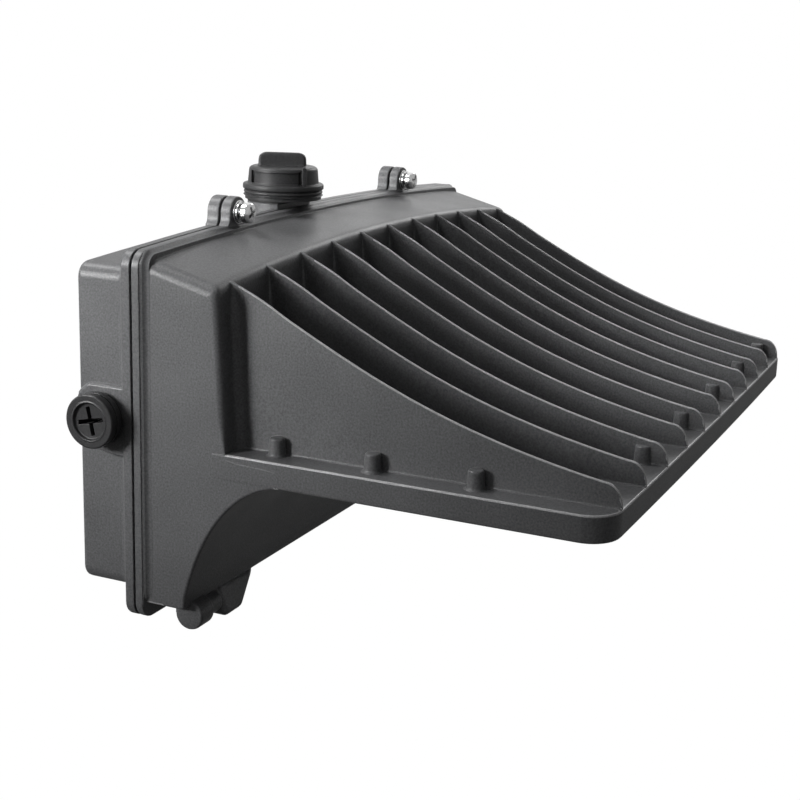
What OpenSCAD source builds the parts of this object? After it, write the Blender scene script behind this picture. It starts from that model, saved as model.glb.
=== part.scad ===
// Full cutoff wall pack light: a shallow rear housing that screws to a wall, and a deep
// finned cover that hangs on two hinges along its foot and is closed by two screws on top.
// The origin is the middle of the wall face. X runs along the wall, -Y faces away from it
// and Z is up. The rest position is the closed light.

/* [Rims] */
// Overall width of the two rims that meet at the seam
rim_w = 352; // [340:1:400]
// Height of the rims above the origin at mid width
rim_top = 82; // [78:1:95]
// Depth of the rims below the origin
rim_foot = 94.2; // [91:0.2:96]
// Rise of the arched top from its ends to mid width
arch_rise = 5.2; // [2:0.2:8]
// Radius of the rims' corners
rim_corner = 8; // [6:1:12]
// Thickness of the rear housing's rim
housing_rim_t = 4.8; // [4:0.1:8]
// Thickness of the cover's rim
cover_rim_t = 3.9; // [3:0.1:6]
// Open seam between the two rims
seam_gap = 0.9; // [0.8:0.1:1.5]

/* [Rear housing] */
// Depth from the wall to the front of the rear rim
housing_d = 29.6; // [29:0.2:36]
// Wall thickness of both castings
wall_t = 3; // [2.5:0.1:3.5]
// Step from the rim in to the housing's side wall
side_step = 2.5; // [2:0.1:3]
// Step from the rim down to the housing's top wall
top_step = 8; // [5:0.5:10]
// Step from the rim up to the housing's bottom wall
foot_step = 13.5; // [11:0.5:15]
// Radius of the housing's long corners
box_corner = 7; // [5:0.5:9]
// Width of the seal groove in the rear rim
groove_w = 2; // [1.6:0.1:2.4]
// Depth of the seal groove
groove_d = 2; // [1.5:0.1:2.5]
// Distance of the groove from the rim's edge
groove_inset = 1.8; // [1.5:0.1:2]
// Length of the seal that stands out of its groove
seal_proud = 0.6; // [0.3:0.1:0.6]

/* [Wall fixings] */
// Distance between the corner screw holes along the wall
fixing_w = 280; // [240:1:300]
// Distance between the corner screw holes up the wall
fixing_h = 100; // [80:1:110]
// Radius of the corner screw holes
fixing_r = 3.25; // [2.5:0.05:4]
// Height of the cable entry above the origin
entry_z = 20; // [16:1:30]
// Radius of the cable entry through the back
entry_r = 11.15; // [9:0.05:12]
// Distance between the two junction box screw holes
box_hole_w = 88.9; // [80:0.1:100]
// Radius of the junction box screw holes
box_hole_r = 2.6; // [2:0.1:3]

/* [Conduit plugs] */
// Distance of the plug axis from the wall
plug_d = 13.3; // [12.8:0.1:14]
// Radius of the plug's head
plug_head_r = 12.5; // [11:0.1:12.6]
// Thickness of the plug's head
plug_head_t = 7.6; // [5:0.1:10]
// Radius of the plug's threaded shank
plug_shank_r = 9.9; // [8:0.1:10.2]
// Thickness of the sealing ring under the head
plug_seal_t = 2; // [1.5:0.1:2.5]
// Radius of the raised pad round the plug
pad_r = 16.7; // [15:0.1:20]
// Height of the raised pad
pad_t = 2.2; // [1:0.1:2.4]

/* [Cover] */
// Step from the rim in to the cover's side face
cover_step = 2.4; // [1.5:0.1:4]
// Step from the rim down to the cover's top at the rim
cover_top_step = 1.6; // [1:0.1:3]
// Drop of the cover's top from its rim to its front edge
shoulder_drop = 8.3; // [4:0.1:12]
// Rise of the arch along the top's front edge
shoulder_rise = 9.3; // [6:0.1:12]
// Distance from the wall to the top edge of the cover's front face
block_d = 71.9; // [70:0.1:80]
// Distance that the front face leans forward towards its foot
face_lean = 5; // [0:0.5:8]
// Depth of the cover's foot below the origin
cover_foot = 86; // [84:0.5:88]
// Distance from the wall to the front face at the cover's foot
foot_d = 54.1; // [52:0.1:57]
// Distance from the wall to where the cove meets the tray
cove_d = 103.6; // [98:0.2:110]

/* [Tray and fins] */
// Depth of the tray's top below the origin
tray_drop = 8.6; // [4:0.2:14]
// Height of the tray's rim
tray_h = 12; // [12:0.1:15]
// Distance from the wall to the tray's front edge at mid width
tray_d = 254.6; // [246:0.2:280]
// Distance that the front edge bows back towards its ends
tray_bow = 3; // [0:0.5:6]
// Rise of the tray from its sides to mid width
tray_crown = 2.4; // [0:0.2:2.4]
// Radius of the tray's front corners in plan
tray_corner = 14; // [8:1:20]
// Thickness of the skirt round the tray
skirt_t = 4; // [3:0.5:5]
// Thickness of the plate under the fins, at the sides
plate_t = 3; // [2.5:0.1:4]
// Number of fins
fin_count = 11; // [9:2:13]
// Width of the ledge outside the outer fins
ledge_w = 13.6; // [12:0.2:18]
// Thickness of a fin at its root
fin_root_t = 3.2; // [2.5:0.1:4]
// Thickness of a fin at its highest tip
fin_tip_t = 1.8; // [1.4:0.1:2.4]
// Height of a fin at its rounded nose
fin_nose_h = 10.3; // [6:0.1:14]
// Length of the rounded nose
fin_nose_l = 8; // [4:0.5:12]
// Radius of the screw bosses beside the fins
boss_r = 5.2; // [4.5:0.1:5.6]
// Height of the screw bosses above the tray
boss_h = 8.2; // [7:0.1:12]

/* [Hinges] */
// Distance of the hinge axis from the wall
hinge_d = 54; // [52.5:0.1:55]
// Depth of the hinge axis below the origin
hinge_z = 90.4; // [90:0.1:91.5]
// Radius of the outer hinge ear on the cover
ear_r = 7.2; // [6.5:0.1:7.5]
// Radius of the rear housing's hinge knuckle
knuckle_r = 5.3; // [4.6:0.1:5.4]
// Radius of the hinge pin
pin_r = 2.5; // [2:0.05:2.8]
// Running clearance round the pin in the knuckle
pin_clear = 0.05; // [0.02:0.01:0.1]
// Distance from the cover's side face to the outer ear
ear_inset = 5.6; // [3:0.1:10]
// Width of the outer ear
ear_w = 11; // [8:0.1:12]
// Width of the knuckle between the cover's two lugs
knuckle_w = 9.9; // [8:0.1:12]
// Side clearance of the knuckle
knuckle_gap = 0.5; // [0.3:0.1:1]
// Width of the inner lug at its top
lug_w = 37; // [30:1:44]
// Width of the inner lug at its foot
lug_foot_w = 16; // [12:1:20]

/* [Cover screws] */
// Distance of each cover screw from mid width
screw_x = 94.5; // [80:0.5:120]
// Height of the screw axis above the rim
screw_rise = 5.5; // [5:0.1:7]
// Radius of the screw ears
screw_ear_r = 7.5; // [6.5:0.1:9]
// Thickness of the rear housing's screw ear
rear_ear_t = 6.5; // [5.5:0.1:8]
// Thickness of the cover's screw ear
front_ear_t = 5.6; // [4:0.1:7]
// Radius of the screw's shank
screw_r = 2.45; // [2:0.05:2.6]
// Length of shank inside the rear ear
screw_bite = 4.5; // [3:0.1:5]
// Radius of the screw's head
screw_head_r = 4.95; // [4.5:0.05:5.5]
// Height of the screw's head
screw_head_h = 3.7; // [3:0.1:4.5]
// Radius of the flat washer
washer_r = 5.8; // [5.4:0.1:6.4]

/* [Photocell] */
// Distance of the photocell from mid width, to the left
cell_x = 27; // [0:1:40]
// Distance of the photocell axis from the wall
cell_d = 22.9; // [21.5:0.1:24.5]
// Radius of the cap's flange
cap_flange_r = 21; // [20:0.1:21.2]
// Height of the cap's flange
cap_flange_h = 4.8; // [3:0.1:6]
// Radius of the cap's drum
cap_drum_r = 18.4; // [17:0.1:19.5]
// Height of the cap's drum above its flange
cap_drum_h = 10.2; // [8:0.1:14]
// Height of the grip on the cap
grip_h = 6.9; // [4:0.1:9]
// Thickness of the grip
grip_t = 5; // [3:0.1:7]
// Distance of the receptacle's stem from the wall
stem_d = 15.6; // [15:0.1:16.5]

/* [Light unit] */
// Length of the light window
window_w = 260; // [220:1:280]
// Depth of the light window
window_d = 90; // [70:1:95]
// Thickness of the clear lens
lens_t = 1.8; // [1.5:0.1:2.2]
// Thickness of the frame that holds the lens
frame_t = 1.8; // [1.5:0.1:2.2]
// Number of chips along the board
chip_count = 12; // [8:1:16]
// Number of rows of chips
chip_rows = 3; // [1:1:4]
// Length of the driver
driver_l = 150; // [120:1:170]
// Height of the driver
driver_h = 56; // [40:1:60]
// Thickness of the driver
driver_t = 26; // [20:0.5:28]

/* [Hidden] */
$fn = 48;

// How far every cut runs past the face that it opens, and how far joined solids overlap
over = 1;
// Steps along an arch, round a corner and along a fin or cove
arch_steps = 16;
corner_steps = 5;
curve_steps = 14;
// Clearance of a part that drops into a seat, and of a part that turns in a bore
seat_gap = 0.1;
turn_gap = 0.05;

// Rims, the housing's box and the seam
rim_half = rim_w / 2;
box_half = rim_half - side_step;
box_top = rim_top - top_step;
box_foot = rim_foot - foot_step;
seam_d = housing_d + seam_gap;
cover_rim_d = seam_d + cover_rim_t;
housing_rim_d = housing_d - housing_rim_t;

// Cover block
block_half = rim_half - cover_step;
block_top = rim_top - cover_top_step;
block_corner = rim_corner - cover_step;
shoulder_top = block_top - shoulder_drop;
face_foot_d = block_d + face_lean;
shoulder_d = face_foot_d + cover_step;
cover_inner_d = face_foot_d - wall_t;

// Tray
tray_foot = tray_drop + tray_h;
pocket_top = tray_drop + plate_t;
boss_setback = 14;
pocket_d = cove_d - boss_setback;
pocket_half = block_half - skirt_t;
fin_inset = 2;
fin_half = block_half - ledge_w;
fin_pitch = 2 * fin_half / (fin_count - 1);
boss_x = fin_half + boss_r - fin_root_t / 2;
front_boss_x = fin_half - boss_r + fin_root_t / 2;
front_boss_gap = 12;

// Screw places on each side ledge, as shares of the tray from its pocket to its front
side_boss_shares = [0.045, 0.325, 0.61];

// Fin top between the cover's front face and the nose, as a curve with two handles
fin_handle_shares = [[0.3, 0.39], [0.51, 0.78]];
// Cove under the tray, from the tray's underside to the cover's foot
cove_handle_shares = [[0.4, 0.03], [0.81, 0.33]];

// Hinge places along X, measured from mid width
ear_out = block_half - ear_inset;
ear_in = ear_out - ear_w;
knuckle_out = ear_in - knuckle_gap;
knuckle_in = knuckle_out - knuckle_w;
lug_out = knuckle_in - knuckle_gap;
lug_in = lug_out - lug_w;
lug_foot = hinge_z + 8;
lug_back_d = hinge_d - 8.4;
lug_front_d = hinge_d + 7.1;
lug_top_d = foot_d + wall_t / 2;
notch_gap = 0.8;
notch_r = knuckle_r + notch_gap;
pin_out = ear_out - ear_inset;
pin_in = lug_out - lug_foot_w - ear_inset;
// A pressed pin is this much larger than its hole
press = 0.01;
arm_gap = 0.6;
arm_foot = rim_foot - 0.2;
arm_top = cover_foot + arm_gap;
notch_top = cover_foot + 0.3;
// The seal's foot lies this much above the arms
seal_lift = 1.2;

// Cover screws, from the ears' facing sides forward
screw_z = crest(screw_x, rim_half, rim_top, arch_rise) + screw_rise;
// The screw's tip rises as the cover starts to swing, so its hole in the rear ear is wider
screw_play = 0.07;
screw_hole_r = screw_r + screw_play
    + screw_bite * (hinge_d - housing_d + screw_bite) / (screw_z + hinge_z);
front_ear_d = seam_d + front_ear_t;
flat_t = 1;
spring_t = 1.4;
spring_r = 4.7;
spring_slit = 1;
head_d = front_ear_d + flat_t + spring_t + turn_gap;
ear_slot_w = 1.2;
ear_slot_h = 4;

// Conduit plugs, from the housing's side outwards
plug_pad_x = box_half + pad_t;
plug_face_x = plug_pad_x + plug_seal_t + plug_head_t;
plug_seal_r = housing_rim_d - plug_d - seat_gap;
plug_recess_r = 8.4;
plug_recess_t = 1.6;
plug_groove_r = 0.8;
plug_slot_l = 13;
plug_slot_w = 1.9;
plug_slot_t = 2.2;
plug_slot_turn = -12;

// Photocell, from its boss upwards
cell_boss_r = 18.5;
cell_boss_z = rim_top + 2.5;
cell_gasket_t = 1.1;
cell_flange_z = cell_boss_z + cell_gasket_t;
cell_flange_t = 1.6;
cell_flange_r = cap_flange_r - 1.2;
cell_seat_z = cell_flange_z + cell_flange_t;
cap_z = cell_seat_z + turn_gap;
hub_r = 12;
hub_h = 8;
stem_r = 7;
stem_bore_r = 4.5;
stem_foot_z = box_top - wall_t - 12;
cell_nut_r = 10.2;
cell_nut_t = 5;
cap_wall = 2.2;
cap_top_z = cap_z + cap_flange_h + cap_drum_h;
lip_gap = 0.7;
panel_w = 24;
panel_t = 0.6;
grip_l = 25;
grip_turn = -66;

// Light unit under the tray, downwards from the pocket's ceiling
board_t = 1.6;
chip_t = 0.6;
lens_z = pocket_top + board_t + chip_t + 0.3 * board_t;
frame_z = lens_z + lens_t;
frame_foot = frame_z + frame_t;
window_mid_d = pocket_d + (tray_d - skirt_t - pocket_d) / 2;
lens_lap = 7;
lens_corner = 6;
board_inset = 4;
lens_seal_w = 3;
chip_w = 5;
frame_gap = 0.6;
lens_screw_r = 1.9;
lens_head_r = 3.6;
lens_tap_r = 1.7;
lens_tap_h = boss_h - 2;
board_screw_r = 1.4;
board_head_r = 2.6;
board_head_t = 0.8;
board_screw_l = 1.9;

// Driver on its seat inside the cover
driver_seat_d = 65.6;
driver_mid_z = 27;
driver_tab_l = 12;
driver_tab_h = 20;
driver_tab_t = 2;
driver_screw_r = 1.9;
driver_tap_r = 1.7;
driver_screw_l = 7;
driver_head_r = 3.8;
driver_head_t = 2.4;

// Wiring
mains_r = 1.2;
low_r = 0.8;
// Distances between neighbouring leads in a plug, in a connector, in a run and in the passage
lead_pitch = 2.2 * mains_r;
lead_side = 1.3 * mains_r;
lead_step = 3 * mains_r;
low_pitch = 2.2 * low_r;
nut_top_z = -22;
nut_l = 22;
nut_top_r = 5;
nut_tip_r = 3.5;
nut_pitch = 13;
wire_d = housing_d / 2 + 2;
socket_x = 42;
socket_z = -34;
socket_w = 16;
socket_h = 9;
socket_t = 10;
driver_plug_d = seam_d + 3;
ground_x = 92;
ground_z = -40;
ground_boss_r = 5;
ground_boss_h = 4;
ground_head_r = 4.2;
ground_head_t = 3;
ground_screw_r = 2;
ring_t = 1;
led_lead_x = 60;
led_lead_z = pocket_top + low_r;
grommet_r = 2.4;
grommet_bore_r = 2;
grommet_flange_r = 4;
grommet_flange_t = 1;
// Lean of the inside wall under the grommet's flange, and the straight run of lead into it
grommet_seat = 0.4;
grommet_run = 8;

// Points of an arc, without its first or last point when asked
function arc(cx, cz, r, a0, a1, skip0 = 0, skip1 = 0) =
    [for (k = [skip0:corner_steps - skip1])
        let (a = a0 + (a1 - a0) * k / corner_steps) [cx + r * cos(a), cz + r * sin(a)]];

// Height of an arch at x
function crest(x, half, top, rise) = top - rise * pow(x / half, 2);

// Outline seen from the front: arched top, straight sides and foot, round corners
function arched(half, top, foot, rise, r) =
    let (c = half - r, shoulder = crest(c, half, top, rise) - r)
    concat(
        [for (k = [0:arch_steps])
            let (x = c * (2 * k / arch_steps - 1)) [x, crest(x, half, top, rise)]],
        arc(c, shoulder, r, 90, 0, 1, 0),
        arc(c, r - foot, r, 0, -90),
        arc(-c, r - foot, r, -90, -180),
        arc(-c, shoulder, r, 180, 90, 0, 1));

// The rim's outline, moved in by an inset
function rim_ring(inset) = arched(rim_half - inset, rim_top - inset, rim_foot - inset,
    arch_rise, rim_corner - inset);

// The seal's outline: as the rim's, but its foot runs above the notches for the hinges
function seal_ring(inset) = arched(rim_half - inset, rim_top - inset,
    arm_top - seal_lift + groove_inset - inset, arch_rise, rim_corner - inset);

// A cubic curve from p0 to p3 with its handles given as shares of the box between them
function curve_at(p0, p3, h, t) =
    let (size = p3 - p0,
        p1 = [p0.x + size.x * h[0].x, p0.y + size.y * h[0].y],
        p2 = [p0.x + size.x * h[1].x, p0.y + size.y * h[1].y],
        u = 1 - t)
    u * u * u * p0 + 3 * u * u * t * p1 + 3 * u * t * t * p2 + t * t * t * p3;

function slope_at(p0, p3, h, t) = let (step = 0.01)
    unit(curve_at(p0, p3, h, t + step) - curve_at(p0, p3, h, t - step));

function unit(v) = v / norm(v);

// The cove's curve, and the same curve moved in by the wall
cove_start = [-cove_d, -tray_foot];
cove_end = [-foot_d, -cover_foot];
function cove_point(t) = curve_at(cove_start, cove_end, cove_handle_shares, t);
function cove_inner(t) = let (s = slope_at(cove_start, cove_end, cove_handle_shares, t))
    cove_point(t) + wall_t * [-s.y, s.x];

// Place of the front face at a height, and of the tray's front edge at x
function face_at(z) = block_d + face_lean * (shoulder_top - z) / (shoulder_top + tray_drop);
function front_at(x) = tray_d - tray_bow * pow(x / block_half, 2);
function tray_top_at(x) = tray_crown * (1 - pow(x / block_half, 2)) - tray_drop;
// Height of the cover's top edge above a fin at x
function fin_start_z(x) = let (share = (block_d - seam_d) / (shoulder_d - seam_d))
    crest(x, block_half, block_top - shoulder_drop * share,
        arch_rise + (shoulder_rise - arch_rise) * share);

// Solids that run from one depth to another in front of the wall, or along X
module along_y(from, to) {
    translate([0, -from, 0]) rotate([90, 0, 0]) linear_extrude(to - from) children();
}
module along_x(from, to) {
    translate([from, 0, 0]) rotate([90, 0, 90]) linear_extrude(to - from) children();
}
module rod_y(x, z, from, to, r) {
    translate([x, -from, z]) rotate([90, 0, 0]) cylinder(r = r, h = to - from);
}
module rod_x(y, z, from, to, r) {
    translate([from, y, z]) rotate([0, 90, 0]) cylinder(r = r, h = to - from);
}
module both_sides() {
    children();
    mirror([1, 0, 0]) children();
}
module block(x0, x1, d0, d1, z0, z1) {
    translate([x0, -d1, z0]) cube([x1 - x0, d1 - d0, z1 - z0]);
}

// A round wire along a path that is smoothed by cutting its corners
function cut_corners(p, n) = n == 0 ? p : cut_corners(concat([p[0]],
    [for (i = [0:len(p) - 2])
        each [0.75 * p[i] + 0.25 * p[i + 1], 0.25 * p[i] + 0.75 * p[i + 1]]],
    [p[len(p) - 1]]), n - 1);
function heading(p, i) = unit(p[min(i + 1, len(p) - 1)] - p[max(i - 1, 0)]);
function level_side(t) = unit(cross(t, abs(t.z) < 0.9 ? [0, 0, 1] : [1, 0, 0]));
function side_at(p, i) = i == 0 ? level_side(heading(p, 0)) :
    let (t = heading(p, i), s = side_at(p, i - 1)) unit(s - (s * t) * t);
module wire(path, r) {
    m = 8;
    p = cut_corners(path, 2);
    n = len(p);
    points = [for (i = [0:n - 1])
        let (t = heading(p, i), s = side_at(p, i), b = cross(t, s))
        for (j = [0:m - 1]) p[i] + r * (cos(360 * j / m) * s + sin(360 * j / m) * b)];
    walls = [for (i = [0:n - 2]) for (j = [0:m - 1])
        [i * m + j, (i + 1) * m + j, (i + 1) * m + (j + 1) % m, i * m + (j + 1) % m]];
    ends = [[for (j = [0:m - 1]) j], [for (j = [0:m - 1]) n * m - 1 - j]];
    polyhedron(points, concat(walls, ends), convexity = 4);
}

// A pan head with a cross recess, its seat at z = 0 and its shank running down
module pan_screw(shank_r, shank_l, head_r, head_h) {
    dome = 0.45 * head_h;
    difference() {
        union() {
            rotate_extrude()
                polygon([[0, 0], [head_r, 0], [head_r, head_h - dome],
                    [head_r - dome / 2, head_h - dome / 3], [head_r - dome, head_h],
                    [0, head_h]]);
            translate([0, 0, -shank_l]) cylinder(r = shank_r, h = shank_l + over / 2);
        }
        for (a = [0, 90]) rotate([0, 0, a])
            translate([-head_r * 0.5, -head_r * 0.1, head_h * 0.45])
                cube([head_r, head_r * 0.2, head_h]);
    }
}

// Places of the screws that hold the lens frame, the left side's first
side_boss_d = [for (s = side_boss_shares) pocket_d + s * (tray_d - pocket_d)];
front_boss_xs = concat([front_boss_x], [for (k = [1:2:(fin_count - 3) / 2]) k * fin_pitch]);
lens_screw_places = [for (side = [-1, 1]) each concat(
    [for (d = side_boss_d) [side * boss_x, -d]],
    [for (x = front_boss_xs) [side * x, front_boss_gap - front_at(x)]])];

module rear_housing() {
    color("dimgray") difference() {
        union() {
            difference() {
                union() {
                    along_y(0, housing_rim_d + over) polygon(arched(box_half, box_top,
                        box_foot, arch_rise, box_corner));
                    along_y(housing_rim_d, housing_d) polygon(rim_ring(0));
                }
                along_y(wall_t, housing_d + over) polygon(arched(box_half - wall_t,
                    box_top - wall_t, box_foot - wall_t, arch_rise, box_corner - wall_t));
            }
            both_sides() conduit_pad();
            both_sides() rear_screw_ear();
            both_sides() hinge_arm();
            cell_boss();
            rod_y(ground_x, ground_z, wall_t - over, wall_t + ground_boss_h, ground_boss_r);
        }
        // Seal groove
        along_y(housing_d - groove_d, housing_d + over) difference() {
            polygon(seal_ring(groove_inset));
            polygon(seal_ring(groove_inset + groove_w));
        }
        // Conduit entries
        both_sides() rod_x(-plug_d, 0, box_half - wall_t - over, plug_pad_x + over,
            plug_shank_r + turn_gap);
        // Cover screws, hinge pins and the photocell's stem
        both_sides() rod_y(screw_x, screw_z, housing_d - rear_ear_t - over,
            housing_d + over, screw_hole_r);
        both_sides() rod_x(-hinge_d, -hinge_z, knuckle_in - over, knuckle_out + over,
            pin_r + pin_clear);
        translate([-cell_x, -stem_d, box_top - 2 * wall_t])
            cylinder(r = stem_r + seat_gap, h = cell_boss_z - box_top + 3 * wall_t);
        // Wall fixings, cable entry and ground screw
        for (x = [-1, 1], z = [-1, 1])
            rod_y(x * fixing_w / 2, z * fixing_h / 2, -over, wall_t + over, fixing_r);
        rod_y(0, entry_z, -over, wall_t + over, entry_r);
        both_sides() rod_y(box_hole_w / 2, entry_z, -over, wall_t + over, box_hole_r);
        rod_y(ground_x, ground_z, wall_t / 2, wall_t + ground_boss_h + over,
            ground_screw_r + seat_gap);
    }
}

// Raised pad round a conduit entry, open towards the rim
module conduit_pad() {
    along_x(box_half - over, plug_pad_x) intersection() {
        union() {
            translate([-plug_d, 0]) circle(r = pad_r);
            translate([-housing_d + over, -pad_r])
                square([housing_d - plug_d - over, 2 * pad_r]);
        }
        translate([-housing_d + over, -2 * pad_r]) square([housing_d - over, 4 * pad_r]);
    }
}

// Ear on the rear rim that takes a cover screw, with a small slot in its outer side
module rear_screw_ear() {
    foot = crest(screw_x, box_half, box_top, arch_rise) - over;
    difference() {
        union() {
            rod_y(screw_x, screw_z, housing_d - rear_ear_t, housing_d, screw_ear_r);
            block(screw_x - screw_ear_r, screw_x + screw_ear_r, housing_d - rear_ear_t,
                housing_d, foot, screw_z);
        }
        block(screw_x + screw_ear_r - over, screw_x + screw_ear_r + over,
            housing_d - rear_ear_t / 2 - ear_slot_w / 2,
            housing_d - rear_ear_t / 2 + ear_slot_w / 2,
            screw_z - ear_slot_h, screw_z);
    }
}

// Arm through the notch in the cover's rim that carries the hinge knuckle
module hinge_arm() {
    root_d = housing_d - over;
    along_x(knuckle_in, knuckle_out) union() {
        translate([-hinge_d, -hinge_z]) circle(r = knuckle_r);
        translate([-hinge_d, -arm_foot]) square([hinge_d - root_d, arm_foot - arm_top]);
    }
}

// Flat-fronted boss on the housing's top that the photocell stands on
module cell_boss() {
    low = crest(cell_x + cell_boss_r, box_half, box_top, arch_rise) - over;
    intersection() {
        translate([-cell_x, -cell_d, low])
            cylinder(r = cell_boss_r, h = cell_boss_z - low);
        block(-cell_x - 2 * cell_boss_r, -cell_x + 2 * cell_boss_r, over / 2, housing_d,
            low - over, cell_boss_z + over);
    }
}

module housing_gasket() {
    color([0.04, 0.04, 0.04])
        along_y(housing_d - groove_d, housing_d + seal_proud) difference() {
            polygon(seal_ring(groove_inset + seat_gap));
            polygon(seal_ring(groove_inset + groove_w - seat_gap));
        }
}

module plug_seals() {
    color([0.05, 0.05, 0.05]) both_sides() difference() {
        rod_x(-plug_d, 0, plug_pad_x, plug_pad_x + plug_seal_t, plug_seal_r);
        rod_x(-plug_d, 0, plug_pad_x - over, plug_pad_x + plug_seal_t + over,
            plug_shank_r + 2 * turn_gap);
    }
}

// Round plug with a stepped face and a cross slot, for the right side
module conduit_plug() {
    head_in = plug_pad_x + plug_seal_t + turn_gap;
    difference() {
        union() {
            rod_x(-plug_d, 0, box_half - wall_t, head_in + over, plug_shank_r);
            rod_x(-plug_d, 0, head_in, plug_face_x, plug_head_r);
        }
        rod_x(-plug_d, 0, plug_face_x - plug_recess_t, plug_face_x + over, plug_recess_r);
        translate([plug_face_x - plug_recess_t - plug_slot_t, -plug_d, 0])
            for (a = [0, 90]) rotate([plug_slot_turn + a, 0, 0])
                translate([0, -plug_slot_l / 2, -plug_slot_w / 2])
                    cube([plug_recess_t + plug_slot_t, plug_slot_l, plug_slot_w]);
        // Fine groove round the head
        difference() {
            rod_x(-plug_d, 0, head_in + plug_head_t / 2, head_in + plug_head_t / 2
                + plug_groove_r, plug_head_r + over);
            rod_x(-plug_d, 0, head_in, plug_face_x, plug_head_r - plug_groove_r);
        }
    }
}
module conduit_plug_left() {
    color([0.13, 0.13, 0.14]) mirror([1, 0, 0]) conduit_plug();
}
module conduit_plug_right() {
    color([0.13, 0.13, 0.14]) conduit_plug();
}

module receptacle_gasket() {
    color([0.03, 0.03, 0.03]) difference() {
        intersection() {
            translate([-cell_x, -cell_d, cell_boss_z])
                cylinder(r = cell_boss_r, h = cell_gasket_t);
            block(-cell_x - 2 * cell_boss_r, -cell_x + 2 * cell_boss_r, over / 2,
                housing_d, cell_boss_z - over, cell_boss_z + cell_gasket_t + over);
        }
        translate([-cell_x, -stem_d, cell_boss_z - over])
            cylinder(r = stem_r + seat_gap, h = cell_gasket_t + 2 * over);
    }
}

// Round socket with a set-back hollow stem for the leads and a hub that guides the cap
module photocell_receptacle() {
    color([0.10, 0.10, 0.11]) difference() {
        union() {
            translate([-cell_x, -cell_d, cell_flange_z])
                cylinder(r = cell_flange_r, h = cell_flange_t);
            translate([-cell_x, -cell_d, cell_flange_z])
                cylinder(r = hub_r, h = cell_flange_t + hub_h);
            translate([-cell_x, -stem_d, stem_foot_z])
                cylinder(r = stem_r, h = cell_flange_z + over / 2 - stem_foot_z);
        }
        translate([-cell_x, -stem_d, stem_foot_z - over])
            cylinder(r = stem_bore_r, h = cell_flange_z - stem_foot_z + over);
    }
}

module receptacle_nut() {
    nut_z = crest(cell_x, box_half - wall_t, box_top - wall_t, arch_rise) - over / 2;
    color("silver") difference() {
        translate([-cell_x, -stem_d, nut_z - cell_nut_t])
            cylinder(r = cell_nut_r, h = cell_nut_t);
        translate([-cell_x, -stem_d, nut_z - cell_nut_t - over])
            cylinder(r = stem_r + seat_gap, h = cell_nut_t + 2 * over);
    }
}

// Hollow twist-on cap with two lips, a recessed panel and a grip across its top
module photocell_cap() {
    color([0.14, 0.14, 0.15]) translate([-cell_x, -cell_d, cap_z]) difference() {
        union() {
            cylinder(r = cap_flange_r - lip_gap, h = cap_flange_h);
            translate([0, 0, cap_flange_h / 2])
                cylinder(r = cap_flange_r, h = cap_flange_h / 2);
            cylinder(r = cap_flange_r, h = cap_flange_h / 3);
            rotate_extrude() polygon([[0, 0], [cap_drum_r, 0],
                [cap_drum_r - lip_gap, cap_flange_h + cap_drum_h - cap_wall],
                [cap_drum_r - cap_wall, cap_flange_h + cap_drum_h], [0, cap_flange_h
                + cap_drum_h]]);
            rotate([0, 0, grip_turn]) {
                translate([-grip_l / 2, -grip_t / 2, cap_flange_h])
                    cube([grip_l, grip_t, cap_drum_h + grip_h]);
                translate([0, -grip_t / 2, cap_flange_h])
                    cube([cap_drum_r + lip_gap, grip_t, cap_drum_h]);
            }
        }
        // Room inside for the hub and the light cell
        translate([0, 0, -over]) cylinder(r = hub_r + turn_gap, h = hub_h + 2 * over);
        // Recessed panel that faces the viewer's side
        rotate([0, 0, grip_turn]) translate([-panel_w / 2, -2 * cap_drum_r, cap_flange_h])
            cube([panel_w, 2 * cap_drum_r + panel_t
                - sqrt(pow(cap_drum_r, 2) - pow(panel_w / 2, 2)),
                cap_drum_h - cap_wall]);
    }
}

// Places of the three wire connectors in the rear housing
function nut_x(i) = (i - 1) * nut_pitch - cell_x;

module wire_connectors() {
    colors = ["orange", "orange", "gold"];
    for (i = [0:2]) color(colors[i]) translate([nut_x(i), -wire_d, nut_top_z - nut_l])
        cylinder(r1 = nut_tip_r, r2 = nut_top_r, h = nut_l);
}

module photocell_leads() {
    colors = ["black", "white", "firebrick"];
    for (i = [0:2]) color(colors[i]) let (a = 120 * i + 150,
        x = -cell_x + stem_bore_r / 2 * cos(a), y = stem_bore_r / 2 * sin(a) - stem_d)
        wire([[x, y, cell_flange_z], [x, y, stem_foot_z],
            [x, y, stem_foot_z / 2], [nut_x(i) - lead_side, -wire_d, nut_top_z / 2],
            [nut_x(i) - lead_side, -wire_d, nut_top_z]], mains_r);
}

// Leads from the connectors to the socket that the cover's plug joins
module supply_leads() {
    colors = ["black", "white", "green"];
    for (i = [0:2]) color(colors[i]) let (x = nut_x(i) + lead_side,
        z = socket_z + (1 - i) * lead_pitch, y = -wire_d - lead_step,
        rise = nut_top_z + nut_l * (1 - i / 4), turn = socket_x - socket_w - i * lead_step)
        wire([[x, -wire_d, nut_top_z], [x, -wire_d, nut_top_z + lead_step],
            [x, y, rise], [turn, y, rise], [turn, y, z],
            [socket_x - socket_w / 2 - lead_step, -wire_d, z],
            [socket_x - socket_w / 2, -wire_d, z]], mains_r);
}

module supply_socket() {
    color("ivory") difference() {
        block(socket_x - socket_w / 2, socket_x + socket_w / 2, wire_d - socket_t / 2,
            wire_d + socket_t / 2, socket_z - socket_h / 2, socket_z + socket_h / 2);
        block(socket_x, socket_x + socket_w, wire_d - socket_t / 4, wire_d + socket_t / 4,
            socket_z - socket_h / 4, socket_z + socket_h / 4);
    }
}

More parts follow.
